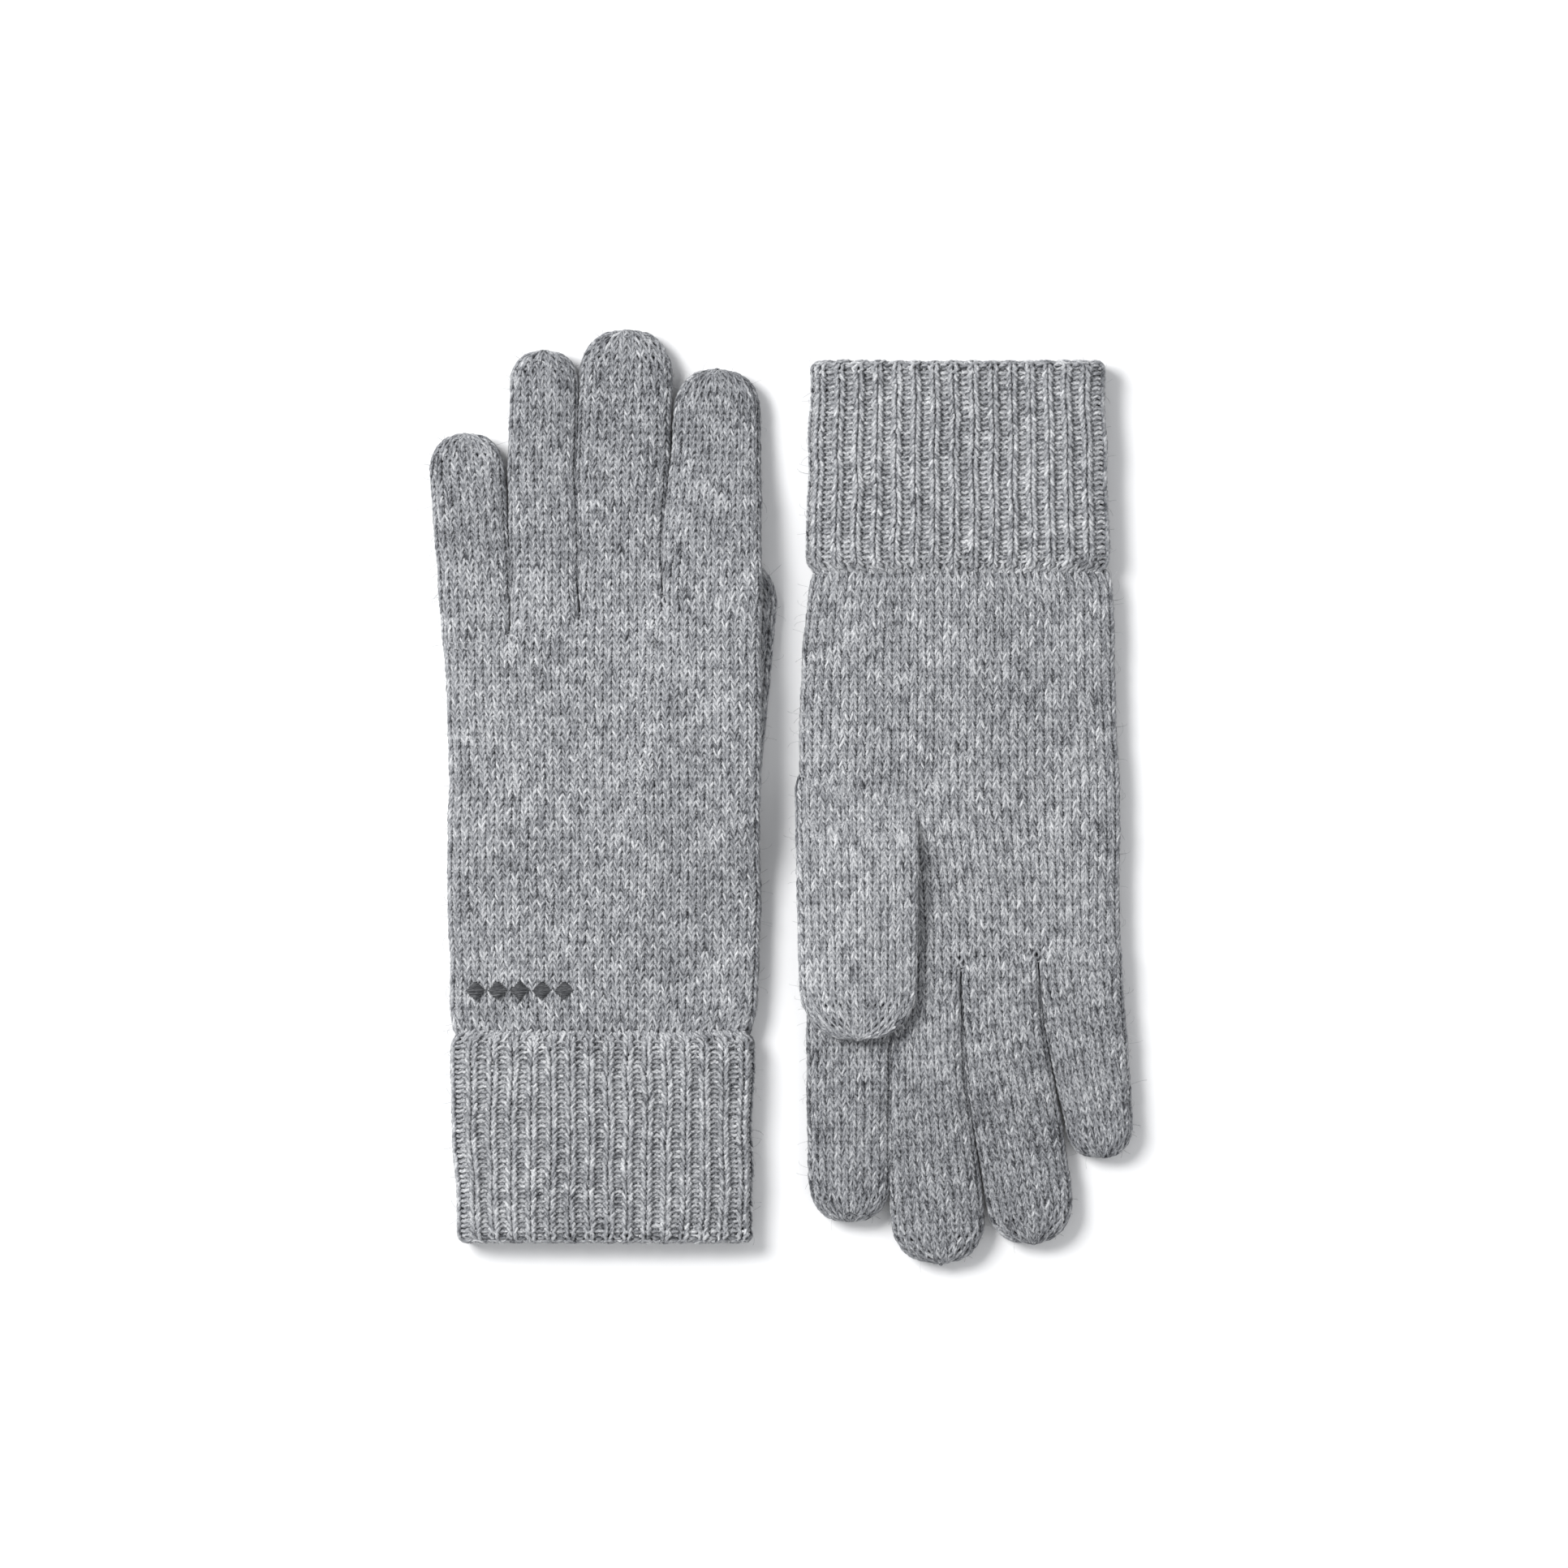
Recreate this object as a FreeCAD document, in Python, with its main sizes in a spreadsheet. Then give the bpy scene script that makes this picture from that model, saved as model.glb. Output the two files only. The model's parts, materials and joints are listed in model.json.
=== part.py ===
"""A pair of knitted gloves lying flat: the left glove back up, the right glove palm up.

Each glove is a flattened knitted hand tube with a double ribbed cuff, four finger stalls and a
thumb stall. Every stall turns about a hinge line across its root, and the cuff turns about the
wrist. Millimetres, +Z up. The origin is the middle of the pair's footprint, on the surface that
the gloves lie on.

Each glove is laid out in its own frame: x across the hand, y from the wrist towards the
fingertips, z up from the surface. The little finger is at low x and the thumb at high x.
"""
import math
import os

import FreeCAD
import Part
import Sketcher
from FreeCAD import Placement, Rotation, Vector

# Sizes that both gloves share.
SHARED = {
    "palm_thick": 10.4,
    "palm_wall": 1.6,
    "palm_fillet": 3.2,
    "wrist_half_width": 45.0,
    "seam_start": 0.3,
    "seam_length": 1.4,
    "finger_thick": 8.6,
    "finger_wall": 1.6,
    "finger_fillet": 3.2,
    "thumb_thick": 6.6,
    "thumb_wall": 1.2,
    "thumb_fillet": 2.4,
    "thumb_window_start": 4.0,
    "thumb_window_length": 12.0,
    "thumb_window_half_width": 12.0,
    "thumb_root_clear": 0.6,
    "root_gap": 0.3,
    "side_gap": 0.2,
    "over": 2.0,
    "hollow_reach": 22.0,
    "cut_across": 300.0,
    "cuff_thick": 12.0,
    "cuff_length": 62.0,
    "cuff_root_half_width": 45.2,
    "cuff_mouth_half_width": 43.4,
    "rib_wall": 1.5,
    "rib_fillet": 3.0,
    "rim_wall": 3.2,
    "rim_length": 2.5,
    "facing_wall": 1.1,
    "facing_root_gap": 9.0,
    "elastic_size": 0.5,
    "elastic_pitch": 16.0,
    "elastic_clear": 0.03,
    "tip_knot_radius": 1.2,
    "tip_tail_radius": 0.6,
    "tip_tail_length": 7.0,
    "tip_clear": 0.05,
    "stitch_size": 1.0,
    "stitch_length": 4.0,
    "stitch_clear": 0.1,
    "stitch_back": 1.6,
    "mark_side": 3.6,
    "mark_pitch": 6.6,
    "mark_thick": 0.5,
    "mark_x": -38.2,
    "mark_y": 12.7,
}
DIAMONDS = 5
ELASTICS = 3

# Hinge point, widths, length past the hinge and sideways lean (degrees) of each digit.
# The right thumb lies on the roots of the right middle and index stalls, so these two turn
# where the thumb's tip ends, and the hand carries their roots.
DIGITS = {
    "left": {
        "little": dict(x=-38.5, y=113.5, root_width=20.2, tip_width=23.0, length=64.4, lean=2.6),
        "ring": dict(x=-17.8, y=117.0, root_width=19.6, tip_width=19.4, length=85.6, lean=0.1),
        "middle": dict(x=5.0, y=121.0, root_width=24.2, tip_width=26.6, length=88.0, lean=-1.1),
        "index": dict(x=32.3, y=123.0, root_width=28.8, tip_width=25.4, length=74.6, lean=-1.2),
        "thumb": dict(x=30.0, y=67.0, root_width=34.0, tip_width=30.0, length=75.0, lean=-6.2),
    },
    "right": {
        "little": dict(x=-36.2, y=112.0, root_width=23.0, tip_width=20.4, length=62.6, lean=6.2),
        "ring": dict(x=-12.6, y=113.0, root_width=21.6, tip_width=25.2, length=87.4, lean=6.6),
        "middle": dict(x=8.9, y=139.5, root_width=21.4, tip_width=27.0, length=66.4, lean=2.9),
        "index": dict(x=33.4, y=144.0, root_width=25.0, tip_width=24.2, length=49.4, lean=1.6),
        "thumb": dict(x=30.4, y=68.0, root_width=36.0, tip_width=34.0, length=71.0, lean=0.4),
    },
}
FINGERS = ("little", "ring", "middle", "index")

# Where each glove's wrist line lies, and how the glove is turned about Z.
PLACES = {
    "left": dict(x=-52.61, y=-70.34, turn=0.0),
    "right": dict(x=53.09, y=67.16, turn=180.0),
}

# The left hand rides over its own thumb: a raised bump on the hand and a recess under it.
LEFT_BUMP = {
    "recess_roof": 6.9,
    "bump_top": 17.4,
    "bump_side": -1.0,
    "bump_rear": 42.0,
    "bump_slope": 5.0,
    "cave_margin": 5.6,
    "cave_front": 112.0,
    "cave_spread": 0.8,
    "recess_clear": 0.6,
    "recess_spread": 12.0,
    "recess_side": 70.0,
    "recess_front": 150.0,
    "low_space_front": 145.0,
    "index_drop": 7.1,
    "index_lift": 8.9,
}

# How edges are told apart when they are rounded.
NEAR = 0.001
SLACK = 0.01
ACROSS_SLOPE = 0.3
HAND_EDGE_LENGTH = 60
HAND_EDGE_X = 35

doc = FreeCAD.newDocument("KnittedGloves")
sheet = doc.addObject("Spreadsheet::Sheet", "Dims")


def fill_sheet():
    """Write every driving dimension to its own row, with its name as the alias."""
    values = dict(SHARED)
    values.update(LEFT_BUMP)
    for side, digits in DIGITS.items():
        for digit, sizes in digits.items():
            for size, value in sizes.items():
                values[f"{side}_{digit}_{size}"] = value
    for row, (alias, value) in enumerate(values.items(), start=1):
        sheet.set(f"A{row}", alias)
        sheet.set(f"B{row}", str(value))
        sheet.setAlias(f"B{row}", alias)
    doc.recompute()


def size(alias):
    """A driving dimension, read back from the sheet."""
    return float(getattr(sheet, alias))


# Placements -------------------------------------------------------------------------------


def glove_frame(side):
    place = PLACES[side]
    return Placement(Vector(place["x"], place["y"], 0), Rotation(Vector(0, 0, 1), place["turn"]))


def digit_height(side, digit):
    """Height of a digit's middle plane at its hinge."""
    if digit == "thumb":
        above_hand = size("palm_thick") + size("root_gap")
        return size("thumb_thick") / 2 + (above_hand if side == "right" else 0.0)
    lift = size("index_lift") if (side, digit) == ("left", "index") else 0.0
    return size("finger_thick") / 2 + lift


def digit_frame(side, digit):
    """A digit's own frame: x along its hinge line, y towards its tip."""
    key = f"{side}_{digit}"
    drop = size("index_drop") if (side, digit) == ("left", "index") else 0.0
    turn = Rotation(Vector(0, 0, 1), size(f"{key}_lean")).multiply(Rotation(Vector(1, 0, 0), -drop))
    hinge = Vector(size(f"{key}_x"), size(f"{key}_y"), digit_height(side, digit))
    return glove_frame(side).multiply(Placement(hinge, turn))


def cuff_frame(side):
    """The cuff's own frame: x along the wrist hinge, y towards the fingers."""
    half = size("cuff_thick") / 2
    return glove_frame(side).multiply(Placement(Vector(0, -half, half), Rotation()))


# Sketches ---------------------------------------------------------------------------------


def new_sketch(body, plane, name):
    """A sketch on one of the body's own origin planes."""
    sketch = body.newObject("Sketcher::SketchObject", name)
    planes = {item.Role: item for item in body.Origin.OriginFeatures}
    sketch.AttachmentSupport = (planes[plane], [""])
    sketch.MapMode = "FlatFace"
    return sketch


def bind(sketch, constraint, name, formula):
    """Add a constraint, name it and drive it by a formula on the sheet."""
    index = sketch.addConstraint(constraint)
    sketch.renameConstraint(index, name)
    sketch.setExpression(f"Constraints.{name}", formula)


def polygon(sketch, corners):
    """A closed outline through corners that are each a pair of formulas."""
    places = [Vector(evaluate(x), evaluate(y), 0) for x, y in corners]
    count = len(places)
    for i, start in enumerate(places):
        sketch.addGeometry(Part.LineSegment(start, places[(i + 1) % count]))
    for i in range(count):
        sketch.addConstraint(Sketcher.Constraint("Coincident", i, 2, (i + 1) % count, 1))
    for i, (x, y) in enumerate(corners):
        bind(sketch, Sketcher.Constraint("DistanceX", i, 1, places[i].x), f"x{i}", x)
        bind(sketch, Sketcher.Constraint("DistanceY", i, 1, places[i].y), f"y{i}", y)


def evaluate(formula):
    """The present value of a formula on the sheet."""
    return float(sheet.evalExpression(str(formula)))


def digit_outline(sketch, root_width, tip_radius, length, root_reach):
    """Straight sides that narrow or widen to a round tip. Every size is a formula."""
    half = evaluate(root_width) / 2
    radius = evaluate(tip_radius)
    centre = evaluate(length) - radius
    reach = evaluate(root_reach)
    low_left = Vector(-half, -reach, 0)
    low_right = Vector(half, -reach, 0)
    circle = Part.Circle(Vector(0, centre, 0), Vector(0, 0, 1), radius)
    sketch.addGeometry(Part.LineSegment(low_left, low_right))
    sketch.addGeometry(Part.LineSegment(low_right, Vector(radius, centre, 0)))
    sketch.addGeometry(Part.ArcOfCircle(circle, 0.0, math.pi))
    sketch.addGeometry(Part.LineSegment(Vector(-radius, centre, 0), low_left))
    sketch.addConstraint(
        [
            Sketcher.Constraint("Coincident", 0, 2, 1, 1),
            Sketcher.Constraint("Coincident", 3, 2, 0, 1),
            Sketcher.Constraint("Tangent", 1, 2, 2, 1),
            Sketcher.Constraint("Tangent", 2, 2, 3, 1),
            Sketcher.Constraint("PointOnObject", 2, 3, -2),
            Sketcher.Constraint("Symmetric", 0, 1, 0, 2, -2),
        ]
    )
    bind(sketch, Sketcher.Constraint("DistanceX", 0, 1, 0, 2, 2 * half), "root", root_width)
    bind(sketch, Sketcher.Constraint("Radius", 2, radius), "tip", tip_radius)
    bind(sketch, Sketcher.Constraint("DistanceY", 2, 3, centre), "centre", f"({length}) - ({tip_radius})")
    bind(sketch, Sketcher.Constraint("DistanceY", 0, 1, -reach), "reach", f"-1 * ({root_reach})")


def knuckle_outline(sketch, radius, side):
    """What a rounded root leaves out, in the YZ plane: a square less its half circle."""
    r = evaluate(radius)
    high = r + size("over")
    out = side * high
    spots = [(0, r), (0, high), (out, high), (out, -high), (0, -high), (0, -r)]
    places = [Vector(y, z, 0) for y, z in spots]
    for start, end in zip(places, places[1:]):
        sketch.addGeometry(Part.LineSegment(start, end))
    arc = Part.Arc(places[-1], Vector(side * r, 0, 0), places[0])
    sketch.addGeometry(arc)
    for i in range(4):
        sketch.addConstraint(Sketcher.Constraint("Coincident", i, 2, i + 1, 1))
    first, last = (1, 2) if arc_starts_at(sketch, 5, places[-1]) else (2, 1)
    sketch.addConstraint(Sketcher.Constraint("Coincident", 4, 2, 5, first))
    sketch.addConstraint(Sketcher.Constraint("Coincident", 5, last, 0, 1))
    sketch.addConstraint(Sketcher.Constraint("Coincident", 5, 3, -1, 1))
    for line in (0, 2, 4):
        sketch.addConstraint(Sketcher.Constraint("Vertical", line))
    for line in (1, 3):
        sketch.addConstraint(Sketcher.Constraint("Horizontal", line))
    sketch.addConstraint(Sketcher.Constraint("PointOnObject", 0, 1, -2))
    sketch.addConstraint(Sketcher.Constraint("PointOnObject", 4, 2, -2))
    bind(sketch, Sketcher.Constraint("Radius", 5, r), "radius", radius)
    bind(sketch, Sketcher.Constraint("DistanceX", 2, 1, out), "out", f"{side} * ({radius} + Dims.over)")
    bind(sketch, Sketcher.Constraint("DistanceY", 0, 2, high), "top", f"{radius} + Dims.over")
    bind(sketch, Sketcher.Constraint("DistanceY", 3, 2, -high), "low", f"-1 * ({radius} + Dims.over)")


def arc_starts_at(sketch, index, place):
    """True when a sketch arc's first end is at the place."""
    return sketch.getPoint(index, 1).distanceToPoint(place) < NEAR


# Features ---------------------------------------------------------------------------------


def new_body(name):
    """An empty body with its label."""
    body = doc.addObject("PartDesign::Body", name)
    body.Label = name
    return body


def pad(body, sketch, name, length, symmetric=False):
    """Raise a sketch's outline into a solid."""
    feature = body.newObject("PartDesign::Pad", name)
    feature.Profile = sketch
    feature.SideType = "Symmetric" if symmetric else "One side"
    feature.setExpression("Length", length)
    doc.recompute()
    return feature


def pocket(body, sketch, name, length, symmetric=False, upward=True):
    """Cut a sketch's outline out of the body and check that something went."""
    before = body.Shape.Volume
    feature = body.newObject("PartDesign::Pocket", name)
    feature.Profile = sketch
    feature.SideType = "Symmetric" if symmetric else "One side"
    feature.Reversed = upward and not symmetric
    feature.setExpression("Length", length)
    doc.recompute()
    if body.Shape.Volume >= before - SLACK:
        raise RuntimeError(f"{name} cut nothing")
    return feature


def raise_sketch(sketch, height):
    """Lift a sketch off its plane by a formula."""
    sketch.setExpression("AttachmentOffset.Base.z", height)


def fillet(body, base, name, radius, wanted):
    """Round the edges of a feature that the test picks out."""
    names = [f"Edge{i}" for i, edge in enumerate(base.Shape.Edges, start=1) if wanted(edge)]
    feature = body.newObject("PartDesign::Fillet", name)
    feature.Base = (base, names)
    feature.setExpression("Radius", radius)
    doc.recompute()
    return feature


def is_flat(edge):
    """An edge in a level plane."""
    heights = [vertex.Z for vertex in edge.Vertexes]
    return max(heights) - min(heights) < NEAR


def is_across(edge):
    """A straight level edge that runs along x."""
    ends = [vertex.Point for vertex in edge.Vertexes]
    if len(ends) != 2 or not is_flat(edge):
        return False
    return abs(ends[0].y - ends[1].y) < ACROSS_SLOPE * abs(ends[0].x - ends[1].x)


def is_lengthwise(edge):
    """A level edge that doesn't run along x."""
    return is_flat(edge) and not is_across(edge)


def half_circle_cut(body, name, radius, side):
    """Round a root to a half cylinder about the hinge line."""
    sketch = new_sketch(body, "YZ_Plane", f"{name}_knuckle")
    knuckle_outline(sketch, radius, side)
    pocket(body, sketch, f"{name}_knuckle_cut", "Dims.cut_across", symmetric=True)


# Sub-parts --------------------------------------------------------------------------------


def digit_body(side, digit):
    """One finger or thumb stall: a flattened knitted tube, closed at its round tip."""
    kind = "thumb" if digit == "thumb" else "finger"
    name = f"{side}_thumb" if digit == "thumb" else f"{side}_{digit}_finger"
    key = f"Dims.{side}_{digit}"
    thick = f"Dims.{kind}_thick"
    wall = f"Dims.{kind}_wall"
    width = f"{key}_root_width"
    radius = f"{key}_tip_width / 2"
    body = new_body(name)

    outline = new_sketch(body, "XY_Plane", f"{name}_outline")
    digit_outline(outline, width, radius, f"{key}_length", f"{thick} / 2")
    solid = pad(body, outline, f"{name}_pad", thick, symmetric=True)
    fillet(body, solid, f"{name}_round", f"Dims.{kind}_fillet", is_lengthwise)
    half_circle_cut(body, name, f"{thick} / 2", -1)

    closed_root = (side, digit) == ("right", "thumb")
    reach = f"{thick} / 2 - {wall} - Dims.thumb_root_clear" if closed_root else f"{thick} / 2 + Dims.over"
    hollow = new_sketch(body, "XY_Plane", f"{name}_hollow")
    digit_outline(hollow, f"{width} - 2 * {wall}", f"{radius} - {wall}", f"{key}_length - {wall}", reach)
    pocket(body, hollow, f"{name}_hollow_cut", f"{thick} - 2 * {wall}", symmetric=True)
    if closed_root:
        window = new_sketch(body, "XY_Plane", f"{name}_window")
        polygon(window, window_corners())
        pocket(body, window, f"{name}_window_cut", f"{thick}", upward=False)
    body.Placement = digit_frame(side, digit)
    return body


def window_corners():
    """The way between the right hand and its thumb, in the thumb's own frame."""
    half = "Dims.thumb_window_half_width"
    near = "Dims.thumb_window_start"
    far = "(Dims.thumb_window_start + Dims.thumb_window_length)"
    return [(f"-{half}", near), (half, near), (half, far), (f"-{half}", far)]


def turned(key, across, along):
    """Formulas for a point that is given in a digit's plan, moved into its glove's frame."""
    lean = f"({key}_lean * 1deg)"
    x = f"{key}_x + ({across}) * cos{lean} - ({along}) * sin{lean}"
    y = f"{key}_y + ({across}) * sin{lean} + ({along}) * cos{lean}"
    return x, y


def root_ends(side, digit):
    """The two corners that the hand stops at behind a finger's root."""
    key = f"Dims.{side}_{digit}"
    half = f"({key}_root_width / 2 + Dims.side_gap)"
    behind = "-(Dims.finger_thick / 2 + Dims.root_gap)"
    return turned(key, f"-{half}", behind), turned(key, half, behind)


def hand_outline(side):
    """The hand's outline: up the little finger's side, across the four roots and down."""
    start = "Dims.seam_start + Dims.seam_length"
    corners = [("Dims.wrist_half_width", start), ("-Dims.wrist_half_width", start)]
    for digit in FINGERS:
        corners.extend(root_ends(side, digit))
    return corners


def hand_hollow(side):
    """The space inside the hand: open at the wrist and at the fingers."""
    low_left, low_right = root_ends(side, "little")[0], root_ends(side, "index")[1]
    ring_right, middle_left = root_ends(side, "ring")[1], root_ends(side, "middle")[0]
    wall = "Dims.palm_wall"
    past = "Dims.hollow_reach"
    corners = [
        (f"Dims.wrist_half_width - {wall}", "-Dims.over"),
        (f"-Dims.wrist_half_width + {wall}", "-Dims.over"),
        (f"{low_left[0]} + {wall}", f"{low_left[1]} + {past}"),
    ]
    if side == "right":
        ring_side = f"{ring_right[0]} - {wall}"
        root_side = f"{ring_right[0]} + {wall}"
        web = f"{ring_right[1]} - 2 * {wall}"
        corners += [(ring_side, f"{ring_right[1]} + {past}"), (ring_side, web), (root_side, web)]
        corners.append((f"{middle_left[0]} + {wall}", f"{middle_left[1]} + {past}"))
    return corners + [(f"{low_right[0]} - {wall}", f"{low_right[1]} + {past}")]


def side_edges(edge):
    """The hand's long outer edges, from the wrist to the little and the index finger."""
    outside = all(abs(vertex.X) > HAND_EDGE_X for vertex in edge.Vertexes)
    return edge.Length > HAND_EDGE_LENGTH and outside and is_lengthwise(edge)


def hand_body(side):
    """The knitted tube that is the palm and the back of the hand."""
    name = f"{side}_hand"
    body = new_body(name)
    outline = new_sketch(body, "XY_Plane", f"{name}_outline")
    polygon(outline, hand_outline(side))
    slab = pad(body, outline, f"{name}_pad", "Dims.palm_thick")
    fillet(body, slab, f"{name}_round", "Dims.palm_fillet", side_edges)
    if side == "left":
        raise_left_hand(body, name)
    hollow = new_sketch(body, "XY_Plane", f"{name}_hollow")
    polygon(hollow, left_hollow() if side == "left" else hand_hollow(side))
    raise_sketch(hollow, "Dims.palm_wall")
    pocket(body, hollow, f"{name}_hollow_cut", "Dims.palm_thick - 2 * Dims.palm_wall")
    if side == "left":
        hollow_left_bump(body, name)
    else:
        open_thumb_window(body, name)
    sink_crotch_stitches(body, name, side)
    body.Placement = glove_frame(side)
    return body


def open_thumb_window(body, name):
    """The hole in the right palm that the thumb stall is knitted on to."""
    window = new_sketch(body, "XY_Plane", f"{name}_window")
    polygon(window, [turned("Dims.right_thumb", x, y) for x, y in window_corners()])
    raise_sketch(window, "Dims.palm_thick / 2")
    pocket(body, window, f"{name}_window_cut", "Dims.palm_thick")


def recess_corners():
    """Where the left thumb lies under the hand, open to the thumb's side and to its tip."""
    key = "Dims.left_thumb"
    rear = "-(Dims.thumb_thick / 2 + Dims.root_gap)"
    rear_right = turned(key, f"({key}_root_width / 2 + Dims.recess_spread)", rear)
    rear_left = turned(key, f"-({key}_root_width / 2 + Dims.recess_clear)", rear)
    front = "Dims.recess_front"
    return [rear_left, rear_right, ("Dims.recess_side", front), (rear_left[0], front)]


def left_hollow():
    """The low space in the left hand, which stops beside the recess for the thumb."""
    full = hand_hollow("left")
    corners = recess_corners()
    side = f"{corners[0][0]} - Dims.palm_wall"
    rear = f"{corners[0][1]} - Dims.palm_wall"
    rear_right = f"{corners[1][1]} + Dims.stitch_size"
    beside = [(side, "Dims.low_space_front"), (side, rear), ("Dims.wrist_half_width", rear_right)]
    return full[:3] + beside


def bump_right_side():
    """The left hand's long right edge: its wrist corner and its index corner."""
    return ("Dims.wrist_half_width", "Dims.seam_start + Dims.seam_length"), root_ends("left", "index")[1]


def raise_left_hand(body, name):
    """The stretch of the left hand that rides over the thumb."""
    index_left, index_right = root_ends("left", "index")
    edge_low, edge_high = bump_right_side()
    share = f"(Dims.bump_rear - {edge_low[1]}) / ({edge_high[1]} - ({edge_low[1]}))"
    edge_x = f"{edge_low[0]} + ({edge_high[0]} - {edge_low[0]}) * {share}"
    middle_right = root_ends("left", "middle")[1]
    bump = new_sketch(body, "XY_Plane", f"{name}_bump")
    polygon(
        bump,
        [
            ("Dims.bump_side", "Dims.bump_rear"),
            (edge_x, "Dims.bump_rear"),
            index_right,
            index_left,
            middle_right,
            ("Dims.bump_side", f"{root_ends('left', 'middle')[0][1]} - Dims.stitch_size"),
        ],
    )
    raise_sketch(bump, "Dims.palm_thick / 2")
    block = pad(body, bump, f"{name}_bump_pad", "Dims.bump_top - Dims.palm_thick / 2")
    top = size("bump_top")

    def ramp_edges(edge):
        ends = [vertex.Point for vertex in edge.Vertexes]
        level = is_flat(edge) and abs(ends[0].z - top) < SLACK
        rear = all(abs(end.y - size("bump_rear")) < SLACK for end in ends)
        inner = all(abs(end.x - size("bump_side")) < SLACK for end in ends)
        return level and (rear or inner)

    names = [f"Edge{i}" for i, edge in enumerate(block.Shape.Edges, start=1) if ramp_edges(edge)]
    ramp = body.newObject("PartDesign::Chamfer", f"{name}_bump_ramp")
    ramp.Base = (block, names)
    ramp.setExpression("Size", "Dims.bump_slope")
    doc.recompute()


def hollow_left_bump(body, name):
    """Cut the recess for the thumb and the space above it, which leads to the index finger."""
    recess = new_sketch(body, "XY_Plane", f"{name}_recess")
    polygon(recess, recess_corners())
    raise_sketch(recess, "-1 * Dims.over")
    pocket(body, recess, f"{name}_recess_cut", "Dims.recess_roof + Dims.over")
    wall = "Dims.palm_wall"
    inner_side = "Dims.bump_side + Dims.cave_margin"
    inner_rear = "Dims.bump_rear + Dims.cave_margin"
    index_left, index_right = root_ends("left", "index")
    front = f"{index_right[1]} + Dims.over"
    cave = new_sketch(body, "XY_Plane", f"{name}_cave")
    polygon(
        cave,
        [
            (inner_side, inner_rear),
            (f"Dims.wrist_half_width + Dims.cave_spread - {wall}", inner_rear),
            (f"{index_right[0]} - {wall}", front),
            (f"{index_left[0]} + {wall}", front),
            (f"{index_left[0]} + {wall}", "Dims.cave_front"),
            (inner_side, "Dims.cave_front"),
        ],
    )
    raise_sketch(cave, f"Dims.recess_roof + {wall}")
    pocket(body, cave, f"{name}_cave_cut", f"Dims.bump_top - Dims.recess_roof - 2 * {wall}")


def seam_body(side):
    """The linked seam that joins the ribbed cuff to the hand."""
    name = f"{side}_wrist_seam"
    body = new_body(name)
    half = "Dims.wrist_half_width"
    start = "Dims.seam_start"
    end = "Dims.seam_start + Dims.seam_length"
    outline = new_sketch(body, "XY_Plane", f"{name}_outline")
    polygon(outline, [(f"-{half}", start), (half, start), (half, end), (f"-{half}", end)])
    band = pad(body, outline, f"{name}_pad", "Dims.palm_thick")
    fillet(body, band, f"{name}_round", "Dims.palm_fillet", is_lengthwise)
    wall = "Dims.palm_wall"
    low, high = f"-{half} + {wall}", f"{half} - {wall}"
    near, far = f"{start} - Dims.over", f"{end} + Dims.over"
    inside = new_sketch(body, "XY_Plane", f"{name}_hollow")
    polygon(inside, [(low, near), (high, near), (high, far), (low, far)])
    raise_sketch(inside, wall)
    pocket(body, inside, f"{name}_hollow_cut", f"Dims.palm_thick - 2 * {wall}")
    body.Placement = glove_frame(side)
    return body


def cuff_section(body, name, inset, near, far):
    """A band of the cuff's plan, narrowed by an inset, between two distances from the hinge."""
    root = "Dims.cuff_root_half_width"
    slope = "(Dims.cuff_root_half_width - Dims.cuff_mouth_half_width) / Dims.cuff_length"
    half_near = f"({root} - ({inset}) - ({near}) * {slope})"
    half_far = f"({root} - ({inset}) - ({far}) * {slope})"
    sketch = new_sketch(body, "XY_Plane", name)
    low, high = f"-1 * ({far})", f"-1 * ({near})"
    polygon(sketch, [(f"-{half_far}", low), (half_far, low), (half_near, high), (f"-{half_near}", high)])
    return sketch


def rib_cuff_body(side):
    """The outer layer of the ribbed cuff, with its turned-in rim."""
    name = f"{side}_rib_cuff"
    body = new_body(name)
    half = "Dims.cuff_thick / 2"
    mouth = f"Dims.cuff_length - {half}"
    outline = cuff_section(body, f"{name}_outline", "0", f"-{half}", mouth)
    slab = pad(body, outline, f"{name}_pad", "Dims.cuff_thick", symmetric=True)
    fillet(body, slab, f"{name}_round", "Dims.rib_fillet", is_lengthwise)
    half_circle_cut(body, name, half, 1)
    rim = f"{mouth} - Dims.rim_length"
    wide = cuff_section(body, f"{name}_hollow", "Dims.rib_wall", f"-{half} - Dims.over", rim)
    pocket(body, wide, f"{name}_hollow_cut", "Dims.cuff_thick - 2 * Dims.rib_wall", symmetric=True)
    narrow = cuff_section(body, f"{name}_mouth", "Dims.rim_wall", "0", f"{mouth} + Dims.over")
    pocket(body, narrow, f"{name}_mouth_cut", "Dims.cuff_thick - 2 * Dims.rim_wall", symmetric=True)
    body.Placement = cuff_frame(side)
    return body


def facing_body(side):
    """The inner layer of the cuff, turned in at the rim."""
    name = f"{side}_cuff_facing"
    body = new_body(name)
    near = "Dims.facing_root_gap - Dims.cuff_thick / 2"
    far = "Dims.cuff_length - Dims.cuff_thick / 2 - Dims.rim_length"
    outer = "Dims.rim_wall - Dims.facing_wall"
    sheet_outline = cuff_section(body, f"{name}_outline", outer, near, far)
    pad(body, sheet_outline, f"{name}_pad", f"Dims.cuff_thick - 2 * ({outer})", symmetric=True)
    past_near, past_far = f"{near} - Dims.over", f"{far} + Dims.over"
    hollow = cuff_section(body, f"{name}_hollow", "Dims.rim_wall", past_near, past_far)
    pocket(body, hollow, f"{name}_hollow_cut", "Dims.cuff_thick - 2 * Dims.rim_wall", symmetric=True)
    body.Placement = cuff_frame(side)
    return body


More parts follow.
